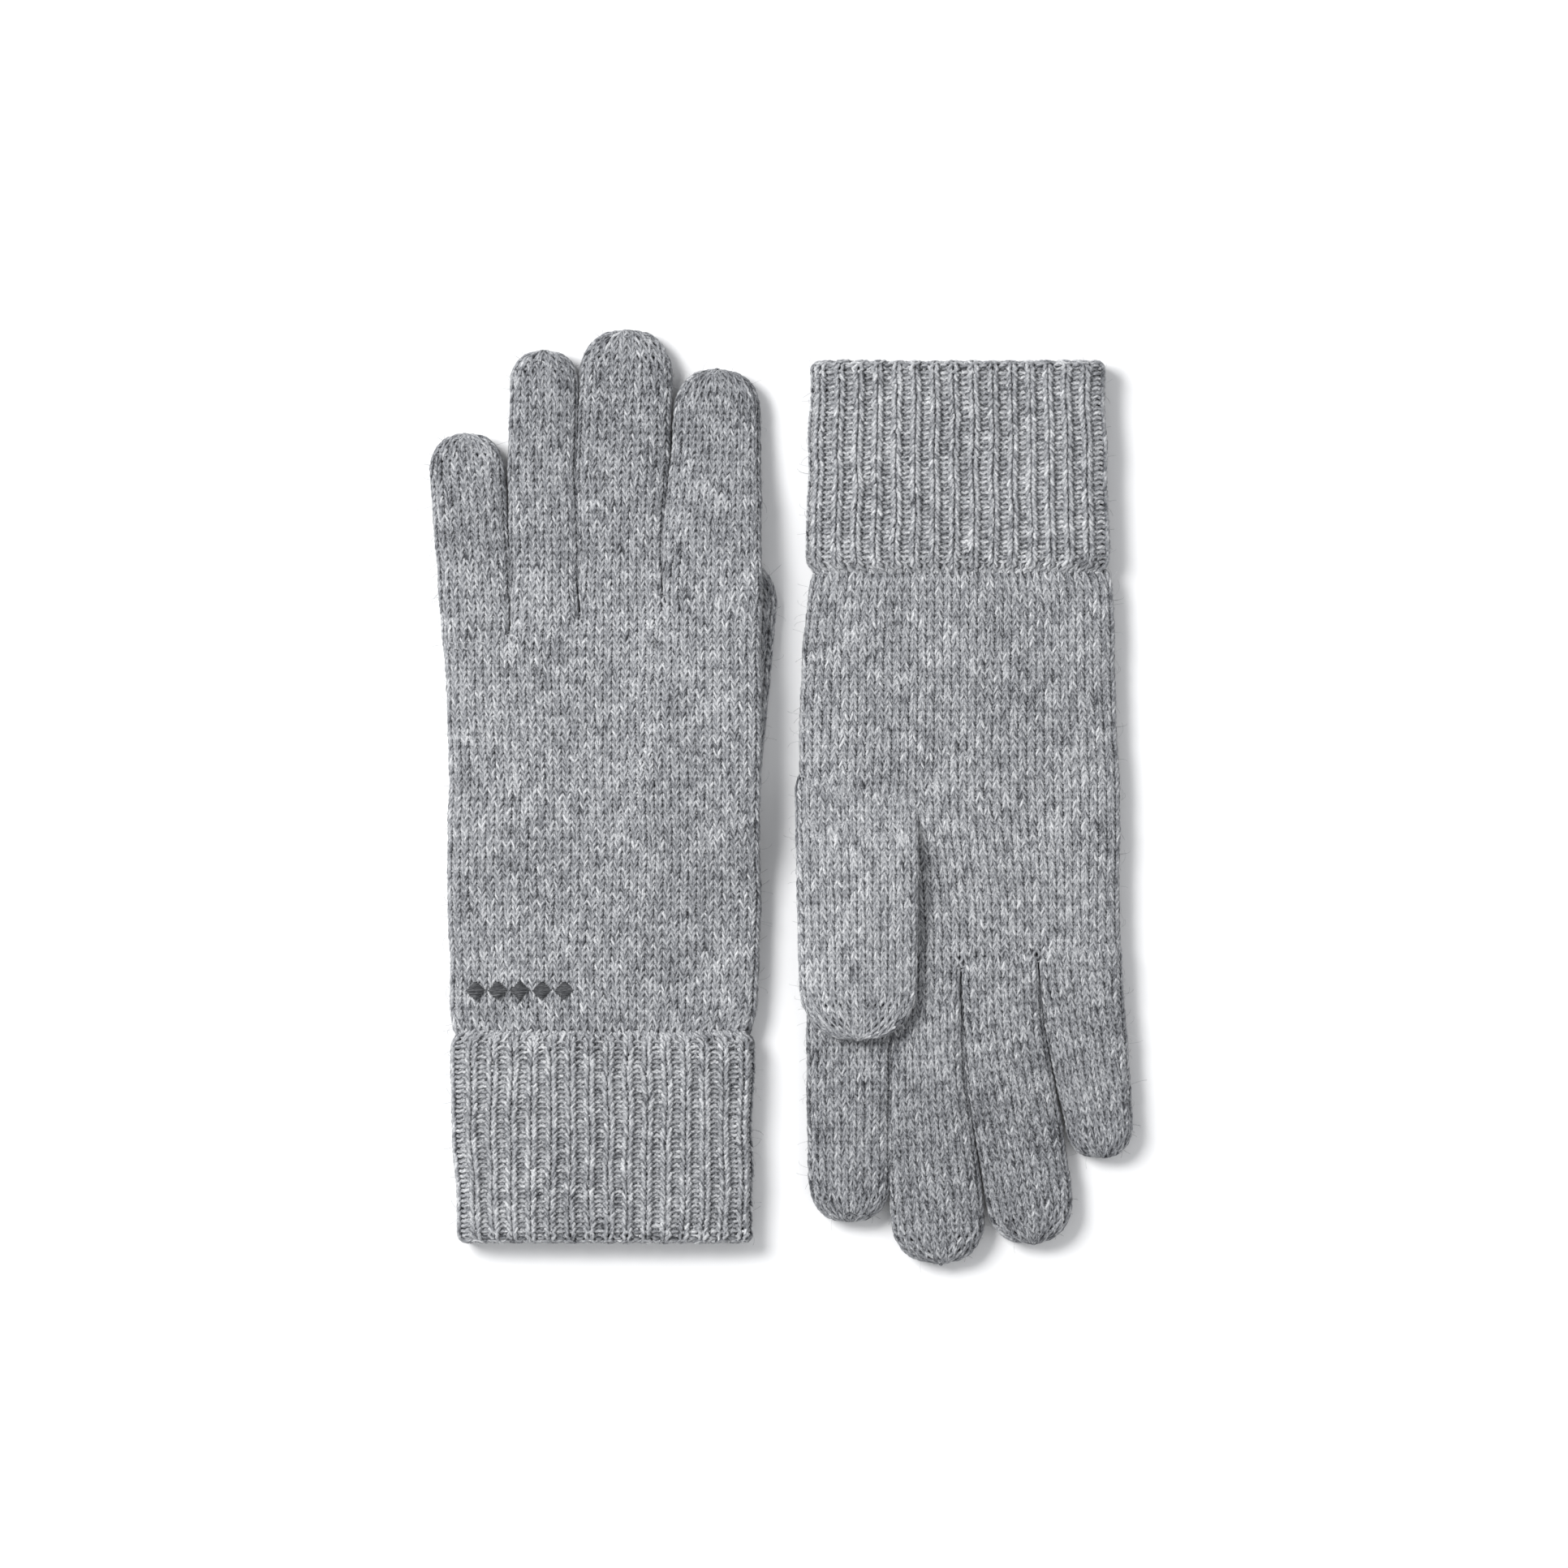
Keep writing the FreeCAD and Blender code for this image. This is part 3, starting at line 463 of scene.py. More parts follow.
def yarn_material(name, stops, sheen=0.25, on_frame_node=False):
    """Heathered yarn: long fibre streaks, stitches of different tone, and a soft mottle over the cloth,
    with painted shade down the sides and underside of each yarn, except on a frame node.

    A frame node has no running length in its UVs, so there the streaks follow its own place in millimetres.
    """
    made = Nodes(name, roughness=0.92, sheen=sheen)
    if on_frame_node:
        scaled = made.node("ShaderNodeVectorMath", operation="SCALE")
        scaled.inputs["Scale"].default_value = 1 / MM
        made.link(made.node("ShaderNodeTexCoord").outputs["Object"], scaled.inputs[0])
        running = scaled.outputs[0]
    else:
        running = made.node("ShaderNodeUVMap", uv_map="yarn").outputs["UV"]
    place = made.node("ShaderNodeTexCoord").outputs["Object"]
    streak = made.noise(running, 1.0, detail=4.0, roughness=0.75, stretch=(1.1, 6.0, 1.0))
    stitch = made.noise(running, 1.0, detail=2.0, stretch=(0.2, 0.9, 1.0))
    length = made.noise(running, 1.0, detail=2.0, stretch=(0.028, 0.1, 1.0))
    patch = made.noise(place, 45.0, detail=3.0, stretch=(0.8, 1.6, 1.0))
    near = made.add(streak, 1.5, stitch, 1.25, -0.88)
    if not on_frame_node:
        # Painted shade: each yarn is darker down its sides and underside, where neighbouring yarns would
        # shadow it.
        near = made.add(near, 1.0, made.painted_round_shade(running), 0.25, -0.19)
    far = made.add(length, 0.7, patch, 0.22, -0.46)
    tone = made.node("ShaderNodeAttribute", attribute_name="tone").outputs["Fac"]
    both = made.add(near, 1.0, far, 1.0, 0.0)
    total = made.add(both, 1.0, tone, 1.0, 0.0)
    made.link(made.ramp(total, stops), made.shader.inputs["Base Color"])
    made.bump(streak, 0.00022)
    return made.material


HEATHER = (
    (0.18, (0.045, 0.047, 0.053)),
    (0.42, (0.215, 0.221, 0.236)),
    (0.62, (0.395, 0.402, 0.417)),
    (0.86, (0.72, 0.725, 0.735)),
)
CHARCOAL = (
    (0.2, (0.024, 0.025, 0.028)),
    (0.5, (0.075, 0.077, 0.083)),
    (0.85, (0.2, 0.203, 0.21)),
)
ELASTIC = (
    (0.2, (0.3, 0.3, 0.31)),
    (0.8, (0.6, 0.6, 0.61)),
)
PLAIN_KNIT = yarn_material("plain knit yarn", HEATHER)
RIBBED_KNIT = yarn_material("ribbed knit yarn", HEATHER)
MARK_THREAD = yarn_material("embroidery thread", CHARCOAL, sheen=0.1)
ELASTIC_COVER = yarn_material("covered elastic", ELASTIC, sheen=0.1)
TIP_YARN = yarn_material("drawn tip yarn", HEATHER, on_frame_node=True)


# ---------------------------------------------------------------- the gloves' shape
PALM_EDGES = {  # (y, low x, high x) up the hand, in the glove's own axes
    "left": (
        (0, -45, 44.6), (8, -46.3, 46.2), (60, -46.6, 47), (100, -46.8, 47), (130, -49, 47.2),
    ),
    "right": (
        (0, -45, 43.9), (8, -46.4, 45.2), (22, -47, 46.3), (65, -48, 48), (95, -48, 46.5), (150, -51, 44),
    ),
}
CROTCHES = {  # (x, y) of the three finger crotches, from the little finger's side
    "left": ((-28.2, 117.1), (-7.6, 122.4), (17.5, 128.6)),
    "right": ((-24.0, 114.0), (-0.7, 116.5), (20.4, 128.0)),
}
TIP_HALF_WIDTHS = {
    "left": {"little": 11.6, "ring": 10.4, "middle": 14.2, "index": 13.0, "thumb": 15.2},
    "right": {"little": 10.6, "ring": 13.2, "middle": 14.0, "index": 12.6, "thumb": 17.8},
}
PALM_HEIGHT = 10.4  # mm, as the two below
FINGER_HEIGHT = 9.4
THUMB_HEIGHT = 6.6
SEAM_TOP = 0.6  # mm up the hand
CUFF_TOP = 0.9
CUFF_TAPER = 1.6
RIM_RADIUS = 1.3
RIM_TOP = -30.0  # where the cuff's knit is parted into two pieces
# Squareness of a tube's sides, where 2 is an ellipse.
PALM_POWER = 4.0
CUT_POWER = 9.0
FINGER_POWER = 3.2
CUFF_POWER = 5.0
TIP_POWER = 2.3
UNEVEN_SEEDS = {"left": 11, "right": 23}
THUMB_LIFT = 6.9  # mm that the thumb underneath raises the left glove
THUMB_SQUASH = 1.2  # mm less on the glove's top
MARK_ROWS = 11  # threads across one diamond
ELASTIC_INSET = 1.35  # mm in from the cuff's outer layer
FACING_INSET = 2.7
CROTCH_SINK = 2.4  # mm from the hand's top down to the crotch stitches


def edge(side, y, which):
    """x of the hand's low edge (which = 1) or high edge (which = 2) at a height up the glove."""
    rows = np.array(PALM_EDGES[side])
    return np.interp(y, rows[:, 0], rows[:, which])


def unevenness(points, seed, size):
    """A gentle, fixed waviness, as cloth that was pressed and picked up again has."""
    random = np.random.default_rng(seed)
    total = np.zeros(len(points))
    for wavelength in (17.0, 27.0, 41.0, 60.0):
        heading, start = random.uniform(0, 2 * np.pi, 2)
        run = points[:, 0] * np.cos(heading) + points[:, 1] * np.sin(heading)
        total += np.sin(run / wavelength * 2 * np.pi + start) * wavelength / 60
    return total * size


def left_lift(points):
    """The share of its full height to which the thumb underneath raises the left glove at each point."""
    x, y = points[:, 0], points[:, 1]
    thumb_edge = 13 + 0.13 * np.clip(y - 67, 0, None)
    return smooth(x - thumb_edge, -11, 1.5) * smooth(y, 38, 66)


def lie(side, fade_from=1e6, fade_to=2e6):
    """The change from a flat tube to how this glove lies, fading out between two heights up the glove."""

    def drape(points):
        made = points.copy()
        left_over = 1 - smooth(points[:, 1], fade_from, fade_to)
        top = smooth(points[:, 2], 1.0, PALM_HEIGHT - 1.0)
        made[:, 2] += unevenness(points, UNEVEN_SEEDS[side], 0.16) * top
        made[:, 0] += unevenness(points, UNEVEN_SEEDS[side] + 1, 0.22)
        if side == "left":
            made[:, 2] += left_lift(points) * (THUMB_LIFT - THUMB_SQUASH * top) * left_over
        return made

    return drape


def wander(side):
    """The way the ribs of the cuff wander a little."""

    def drape(points):
        made = points.copy()
        made[:, 0] += unevenness(points, UNEVEN_SEEDS[side] + 2, 0.34)
        return made

    return drape


def palm_rows(side, low_cut, y_low, y_high):
    """Stations of the hand from y_low to y_high, with everything below low_cut on x left out."""
    rows = []
    for y in np.arange(y_low - 6, y_high + 8, 2.0):
        low = max(edge(side, y, 1), low_cut)
        high = edge(side, y, 2)
        tuck = 0.35 * (1 - smooth(y, 0, 4))
        half_width = (high - low) / 2 - SKIN - tuck
        half_height = PALM_HEIGHT / 2 - SKIN - tuck
        low_power = CUT_POWER if low == low_cut else PALM_POWER
        centre_x, centre_z = (low + high) / 2, PALM_HEIGHT / 2
        rows.append((y, centre_x, y, centre_z, half_width, half_height, low_power, PALM_POWER))
    return rows


def finger_root(side, finger):
    """(y, low x, high x) where a finger leaves the hand."""
    crotches = CROTCHES[side]
    step = FINGERS.index(finger)
    y = crotches[min(step, 2)][1]
    low = edge(side, y, 1) if step == 0 else crotches[step - 1][0]
    high = edge(side, y, 2) if step == 3 else crotches[step][0]
    return y, low, high


def palm_tube(side, fingers, y_low, y_high):
    """(tube, stitches round it) for the hand below these fingers.

    Its wales are even at the wrist. At the crotches a wale's edge lies on the middle of each finger.
    """
    step = FINGERS.index(fingers[0])
    low_cut = -1e9 if step == 0 else CROTCHES[side][step - 1][0]
    rows = palm_rows(side, low_cut, y_low, y_high)
    plain = Tube(rows, straight=True)
    x_middle, _, _, half_width, half_height, low_power, high_power = plain.station(y_high)
    across, up = ring_points(half_width, half_height, (low_power, high_power), 2000)
    half_round = np.sum(np.hypot(np.diff(across), np.diff(up))) / 2
    front = FRONT_WALES[side]["palm"] if step == 0 else round(half_round / STITCH_SPACING)
    knots = []
    for finger in fingers:
        _, low, high = finger_root(side, finger)
        middle = (low + high) / 2
        even = np.interp(middle - x_middle, across[:1000], np.linspace(0, front, 1000))
        knots.append((round(float(even)) / front, middle))
    low_y, high_y = CROTCHES[side][0][1] - 45, CROTCHES[side][0][1] - 3

    def wales(y):
        centre_x = plain.station(y)[0]
        return [(share, x - centre_x) for share, x in knots], float(smooth(y, low_y, high_y))

    return Tube(rows, lie(side), wales, straight=True), 2 * front


def knit(yarn, tube, start, end, stitches, rib_top=None):
    """Courses from start to end over a skin: plain, or rib that turns plain just below rib_top."""
    course, tone, radius, skin_drop, gap_shade_tone = KNITS["plain" if rib_top is None else "rib"]
    courses = max(1, round((end - start) / course))
    height = (end - start) / courses
    for i in range(courses):
        at = start + (i + 0.5) * height
        ribbed = 0.0 if rib_top is None else float(1 - smooth(at, rib_top - 4.5, rib_top - 1.0))
        line, normal = lay_course(tube, at, stitches, height, rib=ribbed)
        yarn.add(line, normal, radius, tone=tone)
    rings = []
    for i in range(courses + 1):
        line, normal = lay_course(tube, start + i * height, stitches, height, shape=NO_LOOP)
        rings.append((line - normal * skin_drop)[::3])
    # The sheet's dark tone is painted shade in the gaps between the stitches.
    yarn.add_skin(rings, gap_shade_tone)


def add_hairs(yarn, tube, start, end, count):
    """Fine fibres that stand off the knit."""
    round_tube = 60
    for at in yarn.random.uniform(start, end, count):
        ring = tube.points(at, round_tube)
        ahead = tube.points(at + 0.5, round_tube)
        place = yarn.random.integers(0, round_tube)
        around = ring[(place + 1) % round_tube] - ring[place - 1]
        normal = np.cross(around, ahead[place] - ring[place])
        normal /= max(np.linalg.norm(normal), 1e-9)
        if ring[place, 2] < LOWEST_HAIR:
            continue
        bearing = yarn.random.uniform(0, 2 * np.pi)
        heading = np.array([math.cos(bearing), math.sin(bearing), 0.0])
        length = yarn.random.uniform(*HAIR_LENGTHS)
        bend = yarn.random.uniform(-HAIR_BEND, HAIR_BEND)
        share = np.linspace(0, 1, 6)[:, None]
        side = np.array([-heading[1], heading[0], 0.0])
        rise = normal * (SKIN - 0.3 + 1.1 * np.sin(share * 2.6))
        line = ring[place] + rise + heading * share * length + side * bend * length * share ** 2
        line[:, 2] = np.maximum(line[:, 2], 0.1)
        normals = np.tile(normal + 0.01, (len(line), 1))
        yarn.add(line, normals, HAIR_RADIUS, closed=False, sides=3, tone=HAIR_TONE)


def make(name, yarn, glove, material, replaced, rides=None, blend=None):
    """Turn yarns into a piece, tie it to the body it rides, and hide the frame node it replaces. A piece
    given a blend is left in the row frame, tied to nothing.
    """
    made = yarn.build(name, glove, material)
    if blend is None:
        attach(made, rides)
    else:
        parent, child, start, end = blend
        tuple(glove.to_row(start))
        tuple(glove.to_row(end))
        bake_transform(made)
    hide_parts(replaced)


def build_palm(glove):
    """The hand in three bands. The last one steps round the crotches, up to the highest."""
    side = glove.side
    crotches = CROTCHES[side]
    wide, stitches = palm_tube(side, FINGERS, SEAM_TOP, crotches[0][1])
    bands = np.linspace(SEAM_TOP, crotches[0][1], 4)
    for band, (low, high) in enumerate(zip(bands[:-1], bands[1:], strict=True)):
        yarn = Yarn()
        knit(yarn, wide, low, high, stitches)
        add_hairs(yarn, wide, low, high, HAIRS["palm band"])
        if band == len(bands) - 2:
            for step in (0, 1):
                low_y, high_y = crotches[step][1], crotches[step + 1][1]
                cut, cut_stitches = palm_tube(side, FINGERS[step + 1:], low_y, high_y)
                knit(yarn, cut, low_y, high_y, cut_stitches)
        body = f"{side}_hand"
        make(f"{side}_knit_hand_{'abc'[band]}", yarn, glove, PLAIN_KNIT, body, rides=body)


def digit_path(root, heading_root, tip, heading_tip, count=24):
    """A smooth line from root to tip that leaves and arrives along the given headings."""
    share = np.linspace(0, 1, count)[:, None]
    reach = np.linalg.norm(tip - root)
    a, b = root + heading_root * reach / 3, tip - heading_tip * reach / 3
    return ((1 - share) ** 3 * root + 3 * (1 - share) ** 2 * share * a
            + 3 * (1 - share) * share ** 2 * b + share ** 3 * tip)


def digit_rows(path, widths, heights, powers, round_from):
    """Stations along a digit, closing roundly at its tip.

    widths and heights are (share of length, half size). powers are the squareness of its two sides at
    the root. Both become FINGER_POWER a little further on.
    """
    run = np.concatenate([[0], np.cumsum(np.linalg.norm(np.diff(path, axis=0), axis=1))])
    length = run[-1]
    rows = []
    for at in np.concatenate([[-6.0, -3.0], np.linspace(0, length, 120), [length + 3]]):
        inside = min(max(at, 0.0), length)
        x, y, z = (np.interp(inside, run, path[:, i]) for i in range(3))
        y += at - inside
        width = np.interp(inside / length, *np.array(widths).T)
        height = np.interp(inside / length, *np.array(heights).T)
        past = max(0.0, inside - (length - round_from)) / round_from
        closing = max(1 - past ** TIP_POWER, 0.0) ** (1 / TIP_POWER)
        freed = smooth(inside, 0, 14)
        sides = [power + (FINGER_POWER - power) * freed for power in powers]
        half_width = max(width * closing, 0.6)
        half_height = max(height * min(1.0, closing ** 0.8 + 0.05), 0.5)
        rows.append((at, x, y, z, half_width, half_height, *sides))
    return rows, length


def knit_digit(yarn, tube, length, stitches, full_width, round_from, tone):
    """Courses up a digit. Towards the tip there are fewer stitches, so that the wales stay straight."""
    add_hairs(yarn, tube, 2, length - 1, HAIRS["digit"])
    for behind in (-0.4, 0.4):
        line, normal = lay_course(tube, behind * COURSE_HEIGHT, stitches, COURSE_HEIGHT)
        yarn.add(line - normal * 0.4, normal, YARN_RADIUS)
    at = 0.0
    step = 0.4
    while at < length - step:
        slope = (tube.station(at + step)[3] - tube.station(at)[3]) / step
        height = COURSE_HEIGHT * min(1.0, max(0.36, 1.3 / math.hypot(1, slope)))
        middle = min(at + height / 2, length - 0.15)
        share = tube.station(middle)[3] / full_width if middle > length - round_from else 1.0
        dropped = int(round(stitches * (1 - min(share, 1.0)) / 4.0)) * 4
        line, normal = lay_course(tube, middle, max(stitches - dropped, 6), max(height, 1.2))
        radius = YARN_RADIUS * (1.0 if share > 0.5 else 0.85)
        yarn.add(line, normal, radius, tone=tone * float(smooth(at, 0, TONE_RUN)))
        at += height
    centre = line.mean(axis=0)
    for share in (0.66, 0.34, 0.12):
        yarn.add(centre + (line - centre) * share, normal, YARN_RADIUS * 0.8, tone=tone)
    rings = []
    for at in np.linspace(0, length, int(length / 1.5)):
        line, normal = lay_course(tube, at, stitches, COURSE_HEIGHT, shape=NO_LOOP)
        drop = LINER_DROP * (1 if at < length - 3 else 0.3)
        rings.append((line - normal * drop)[::3])
    # The sheet's dark tone is painted shade in the gaps between the stitches.
    yarn.add_skin(rings, GAP_SHADE_TONE)


def build_finger(glove, finger):
    """A finger stall, from its root at the hand to its drawn tip."""
    side = glove.side
    y, low, high = finger_root(side, finger)
    hinge, heading = glove.hinge(finger)
    box_low, box_high = glove.box(f"{finger}_finger")
    half = TIP_HALF_WIDTHS[side][finger]
    root = np.array([(low + high) / 2, y, PALM_HEIGHT / 2])
    spare = 0.45  # mm more on each side, part of the way up
    centre_y = box_high[1] - half
    reach = (centre_y - hinge[1]) / heading[1] + half
    tip = hinge + heading * reach
    tip[2] = box_low[2] + FINGER_HEIGHT / 2
    path = digit_path(root, ALONG_Y, tip, heading)
    root_half = (high - low) / 2
    widths = ((0, root_half - SKIN), (0.15, root_half * 0.8 + half * 0.2 + spare - SKIN),
              (0.45, (half + root_half) / 2 + spare - SKIN), (0.8, half - SKIN), (1, half - SKIN))
    heights = ((0, PALM_HEIGHT / 2 - SKIN), (0.25, FINGER_HEIGHT / 2 - SKIN), (1, FINGER_HEIGHT / 2 - SKIN))
    low_power = PALM_POWER if finger == "little" else CUT_POWER
    high_power = PALM_POWER if finger == "index" else CUT_POWER
    rows, length = digit_rows(path, widths, heights, (low_power, high_power), half)
    tube = Tube(rows, lie(side, y + 4, y + (60 if finger == "index" else 24)))
    yarn = Yarn()
    knit_digit(yarn, tube, length, 2 * FRONT_WALES[side][finger], half - SKIN, half, FINGER_TONE)
    start = root + ALONG_Y * max(0.2, hinge[1] - 2 - y)
    make(f"{side}_knit_{finger}", yarn, glove, PLAIN_KNIT, f"{side}_{finger}_finger",
         blend=(f"{side}_hand", f"{side}_{finger}", start, start + ALONG_Y * DIGIT_FOLD))


def build_thumb(glove):
    """A thumb stall: under the hand on the left, and over the palm on the right."""
    side = glove.side
    hinge, heading = glove.hinge("thumb")
    box_low, box_high = glove.box("thumb")
    half = TIP_HALF_WIDTHS[side]["thumb"]
    reach = (box_high[1] - half - hinge[1]) / heading[1] + half
    middle = (box_low[2] + box_high[2]) / 2
    tip = hinge + heading * reach
    tip[2] = middle
    root = hinge + heading * -4
    root[2] = middle if side == "left" else middle - 7.6
    path = digit_path(root, heading, tip, heading)
    path[:, 2] = root[2] + (tip[2] - root[2]) * smooth(np.linspace(0, 1, len(path)), 0.0, 0.26)
    widths = ((0, half + 0.8 - SKIN), (0.5, half + 0.4 - SKIN), (0.75, half - SKIN), (1, half - SKIN))
    heights = ((0, THUMB_HEIGHT / 2 - SKIN + 0.25), (1, THUMB_HEIGHT / 2 - SKIN + 0.25))
    rows, length = digit_rows(path, widths, heights, (FINGER_POWER, FINGER_POWER), half)
    tube = Tube(rows)
    yarn = Yarn()
    knit_digit(yarn, tube, length, 2 * FRONT_WALES[side]["thumb"], half - SKIN, half, THUMB_TONE)
    start = hinge + heading * -1
    make(f"{side}_knit_thumb", yarn, glove, PLAIN_KNIT, f"{side}_thumb",
         blend=(f"{side}_hand", f"{side}_thumb", start, start + heading * DIGIT_FOLD))


def cuff_rows(glove, inset):
    """Stations of the cuff from the wrist down to the turn of its rim."""
    rows = []
    length = glove.cuff_length
    middle = glove.cuff_height / 2
    for at in np.arange(-6, length - 1.6, 1.0):
        wide = glove.cuff_half_width - CUFF_TAPER * np.clip(at / length, 0, 1) - SKIN - inset
        thin = middle - SKIN - inset
        pinch = RIB_RELIEF + 2.1 * (1 - smooth(at, -1.6, 3.2)) - 0.25 * smooth(at, 2, 6)
        rows.append((at, 0, -at, middle, wide - pinch, thin - pinch, CUFF_POWER, CUFF_POWER))
    return rows


def from_rim(rows):
    """The same stations measured upwards, so that the courses run from the rim to the wrist."""
    return [(-row[0], *row[1:]) for row in rows][::-1]


def build_cuff(glove):
    """The ribbed cuff in two pieces, with its rim turned in and knitted on a short way inside."""
    side = glove.side
    rows = cuff_rows(glove, 0.0)
    turn_start, _, _, middle, wide, thin, _, _ = rows[-1]
    for angle in np.linspace(0, np.pi, 9)[1:]:
        at = turn_start + RIM_RADIUS * angle
        y = -(turn_start + RIM_RADIUS * math.sin(angle))
        drop = RIM_RADIUS * (1 - math.cos(angle))
        rows.append((at, 0, y, middle, wide - drop, thin - drop, CUFF_POWER, CUFF_POWER))
    at = rows[-1][0]
    for back in (2.0, 4.0, 6.0, 8.0, 12.0):
        rows.append((at + back, 0, back - turn_start, *rows[-1][3:]))
    tube = Tube(from_rim(rows), wander(side), straight=True)
    stitches = 2 * FRONT_WALES[side]["cuff"]
    for name, start, end in (("rim", -(at + 6), RIM_TOP), ("cuff", RIM_TOP, CUFF_TOP)):
        yarn = Yarn()
        knit(yarn, tube, start, end, stitches, rib_top=CUFF_TOP)
        add_hairs(yarn, tube, max(start, -turn_start), min(end, -1), HAIRS["cuff piece"])
        make(f"{side}_knit_{name}", yarn, glove, RIBBED_KNIT, f"{side}_rib_cuff",
             rides=f"{side}_cuff", blend=glove.wrist_fold() if name == "cuff" else None)


def build_seam(glove):
    """The linked join between the cuff and the hand: one round of small loops, set in, darkened as painted
    shade for the shadow along the join.
    """
    side = glove.side
    tube = Tube(palm_rows(side, -1e9, 0, 4), straight=True)
    yarn = Yarn()
    stitches = 2 * FRONT_WALES[side]["palm"]
    # The tones -0.3 and -0.26 are painted shade for the shadow along the join.
    for at, tone in ((0.1, -0.3), (1.0, -0.26)):
        line, normal = lay_course(tube, at, stitches, COURSE_HEIGHT, shape=SEAM_LOOP)
        yarn.add(line - normal * 0.25, normal, SEAM_YARN_RADIUS, tone=tone)
    make(f"{side}_linked_seam", yarn, glove, PLAIN_KNIT, f"{side}_wrist_seam",
         rides=f"{side}_hand")


def node_clusters(glove, node, gap=1.0):
    """(lowest, highest corner) of each separate solid of a node, found by its gaps along x."""
    vertices = [v.co for v in frame["nodes"][f"{glove.side}_{node}"].data.vertices]
    points = glove.from_row(np.array([tuple(v) for v in vertices]))
    points = points[np.argsort(points[:, 0])]
    splits = np.nonzero(np.diff(points[:, 0]) > gap)[0] + 1
    return [(part.min(0), part.max(0)) for part in np.split(points, splits)]


def strand(start, end, sag=0.0, count=10):
    """Points from start to end, rising by sag in the middle, and the directions away from the cloth."""
    share = np.linspace(0, 1, count)[:, None]
    line = np.array(start) * (1 - share) + np.array(end) * share
    line[:, 2] += sag * np.sin(share[:, 0] * np.pi)
    return line, np.tile([0.0, 0.0, 1.0], (count, 1))


def build_crotch_stitches(glove):
    """Three short stitches across each crotch."""
    side = glove.side
    yarn = Yarn()
    drape = lie(side)
    for x, y in CROTCHES[side]:
        for turn in (-1, 0, 1):
            level = y + 1.4 + turn
            z = PALM_HEIGHT - CROTCH_SINK
            line, normal = strand((x - 1.7, level - 0.3, z), (x + 1.7, level + 0.3, z), 0.3)
            yarn.add(drape(line), normal, CROTCH_YARN_RADIUS, closed=False, tone=CROTCH_TONE)
    make(f"{side}_sewn_crotches", yarn, glove, PLAIN_KNIT, f"{side}_crotch_stitches",
         rides=f"{side}_hand")


def build_mark(glove):
    """A row of satin-stitched diamonds. Each of the frame's diamonds shows as three clusters along x."""
    yarn = Yarn()
    corners = node_clusters(glove, "embroidered_mark", gap=0.3)
    for first in range(0, len(corners), 3):
        low = np.min([corner[0] for corner in corners[first:first + 3]], axis=0)
        high = np.max([corner[1] for corner in corners[first:first + 3]], axis=0)
        middle, half = (low + high) / 2, (high - low) / 2
        z = low[2] - 0.2
        for i in range(MARK_ROWS):
            level = -1 + 2 * (i + 0.5) / MARK_ROWS
            reach = half[0] * (1 - abs(level)) + 0.25
            y = middle[1] + level * half[1]
            line, normal = strand((middle[0] - reach, y - 0.12, z), (middle[0] + reach, y + 0.12, z), 0.9)
            yarn.add(line, normal, MARK_THREAD_RADIUS, closed=False)
    make("left_stitched_mark", yarn, glove, MARK_THREAD, "left_embroidered_mark",
         rides="left_hand")


def build_elastics(glove):
    """The covered elastic threads between the cuff's two layers, at the heights of the frame's own."""
    side = glove.side
    vertices = [tuple(v.co) for v in frame["nodes"][f"{side}_cuff_elastics"].data.vertices]
    heights = np.sort(glove.from_row(np.array(vertices))[:, 1])
    groups = np.split(heights, np.nonzero(np.diff(heights) > 3)[0] + 1)
    tube = Tube(from_rim(cuff_rows(glove, ELASTIC_INSET)), straight=True)
    yarn = Yarn()
    for group in groups:
        line = tube.points(float(np.mean(group)), 160)
        yarn.add(line, np.tile(ALONG_Y, (len(line), 1)), ELASTIC_RADIUS, sides=8)
    make(f"{side}_elastic_threads", yarn, glove, ELASTIC_COVER,
         f"{side}_cuff_elastics", blend=glove.wrist_fold())


def build_facing(glove):
    """The cuff's inner layer: knitted near the mouth, where it can be seen, and a plain skin further in,
    darkened as painted shade inside the cuff.
    """
    side = glove.side
    mouth = 4 - glove.cuff_length
    tube = Tube(from_rim(cuff_rows(glove, FACING_INSET)), straight=True)
    yarn = Yarn()
    rings = []
    for at in np.linspace(mouth, -1.0, 20):
        line, normal = lay_course(tube, at, 32, 2.0, shape=NO_LOOP)
        rings.append(line - normal * 0.2)
    # The skin's dark tone is painted shade inside the cuff.
    yarn.add_skin(rings, FACING_INSIDE_SHADE_TONE)
    for at in np.arange(mouth, mouth + 22, COURSE_HEIGHT):
        line, normal = lay_course(tube, at, 2 * FRONT_WALES[side]["cuff"], COURSE_HEIGHT)
        yarn.add(line - normal * 0.6, normal, YARN_RADIUS, sides=4)
    make(f"{side}_knit_facing", yarn, glove, RIBBED_KNIT, f"{side}_cuff_facing",
         blend=glove.wrist_fold())


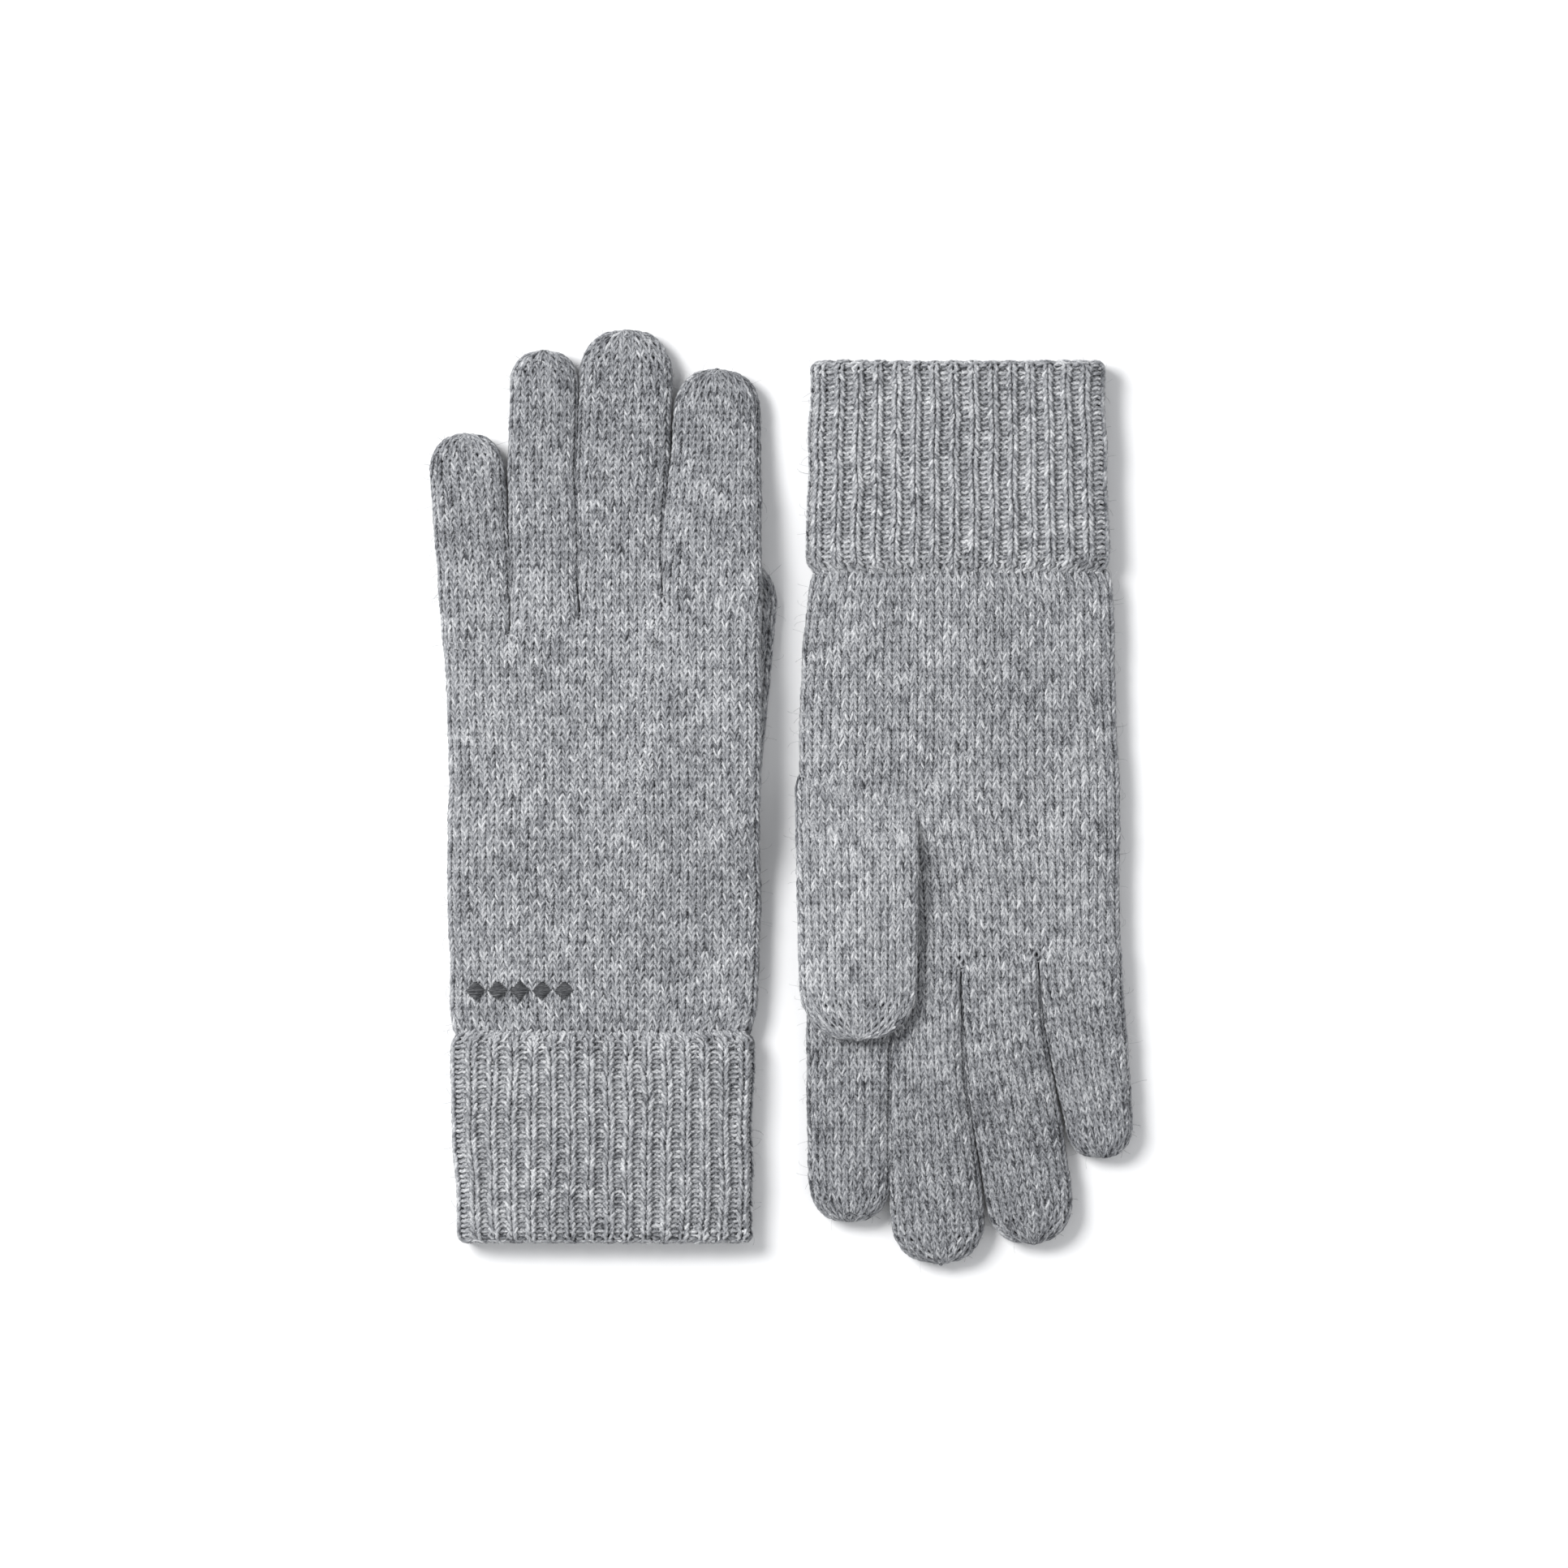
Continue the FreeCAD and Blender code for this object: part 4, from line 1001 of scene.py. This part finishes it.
for glove in GLOVES.values():
    build_seam(glove)
    build_crotch_stitches(glove)
    build_facing(glove)
    build_elastics(glove)
    build_palm(glove)
    for finger in FINGERS:
        build_finger(glove, finger)
    build_thumb(glove)
    build_cuff(glove)
build_mark(GLOVES["left"])

# ---------------------------------------------------------------- carried-over nodes
for side in GLOVES:
    for digit in DIGITS:
        tip_yarn = frame["nodes"][f"{side}_{digit}_tip_yarn"].data
        tip_yarn.materials.clear()
        tip_yarn.materials.append(TIP_YARN)


# ---------------------------------------------------------------- floor, light and camera
def add_object(name, data):
    """A new object in the scene."""
    made = bpy.data.objects.new(name, data)
    bpy.context.scene.collection.objects.link(made)
    return made


def area_light(name, place, target, size, power):
    """A square light that faces the target."""
    data = bpy.data.lights.new(name, "AREA")
    data.size = size
    data.energy = power
    made = add_object(name, data)
    made.location = place
    made.rotation_euler = (Vector(target) - Vector(place)).to_track_quat("-Z", "Y").to_euler()


low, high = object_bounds()
centre = (low + high) / 2
reach = 3.0
floor_z = -0.0004
corners = [(-reach, -reach), (reach, -reach), (reach, reach), (-reach, reach)]
floor_mesh = bpy.data.meshes.new("floor")
floor_mesh.from_pydata([(x, y, floor_z) for x, y in corners], [], [(0, 1, 2, 3)])
floor = add_object("floor", floor_mesh)
white = bpy.data.materials.new("white paper")
white.use_nodes = True
paper = white.node_tree.nodes["Principled BSDF"]
paper.inputs["Base Color"].default_value = (0.93, 0.93, 0.935, 1)
paper.inputs["Roughness"].default_value = 0.9
floor_mesh.materials.append(white)

area_light("key", (-0.9, 0.55, 1.3), centre, 0.7, 28)
area_light("fill", (0.9, -0.6, 1.5), centre, 1.6, 5)
world = bpy.data.worlds.new("studio")
bpy.context.scene.world = world
world.use_nodes = True
sky = world.node_tree.nodes["Background"]
sky.inputs["Color"].default_value = (0.965, 0.98, 1, 1)
sky.inputs["Strength"].default_value = 0.47
bpy.context.scene.view_settings.view_transform = "Standard"

camera_data = bpy.data.cameras.new("camera")
camera_data.lens = 192.1
camera_data.sensor_width = 36
camera = add_object("camera", camera_data)
camera.location = (centre.x + 0.0007, centre.y + 0.0040, 2.5)
camera.rotation_euler = (0, 0, 0)
bpy.context.scene.camera = camera
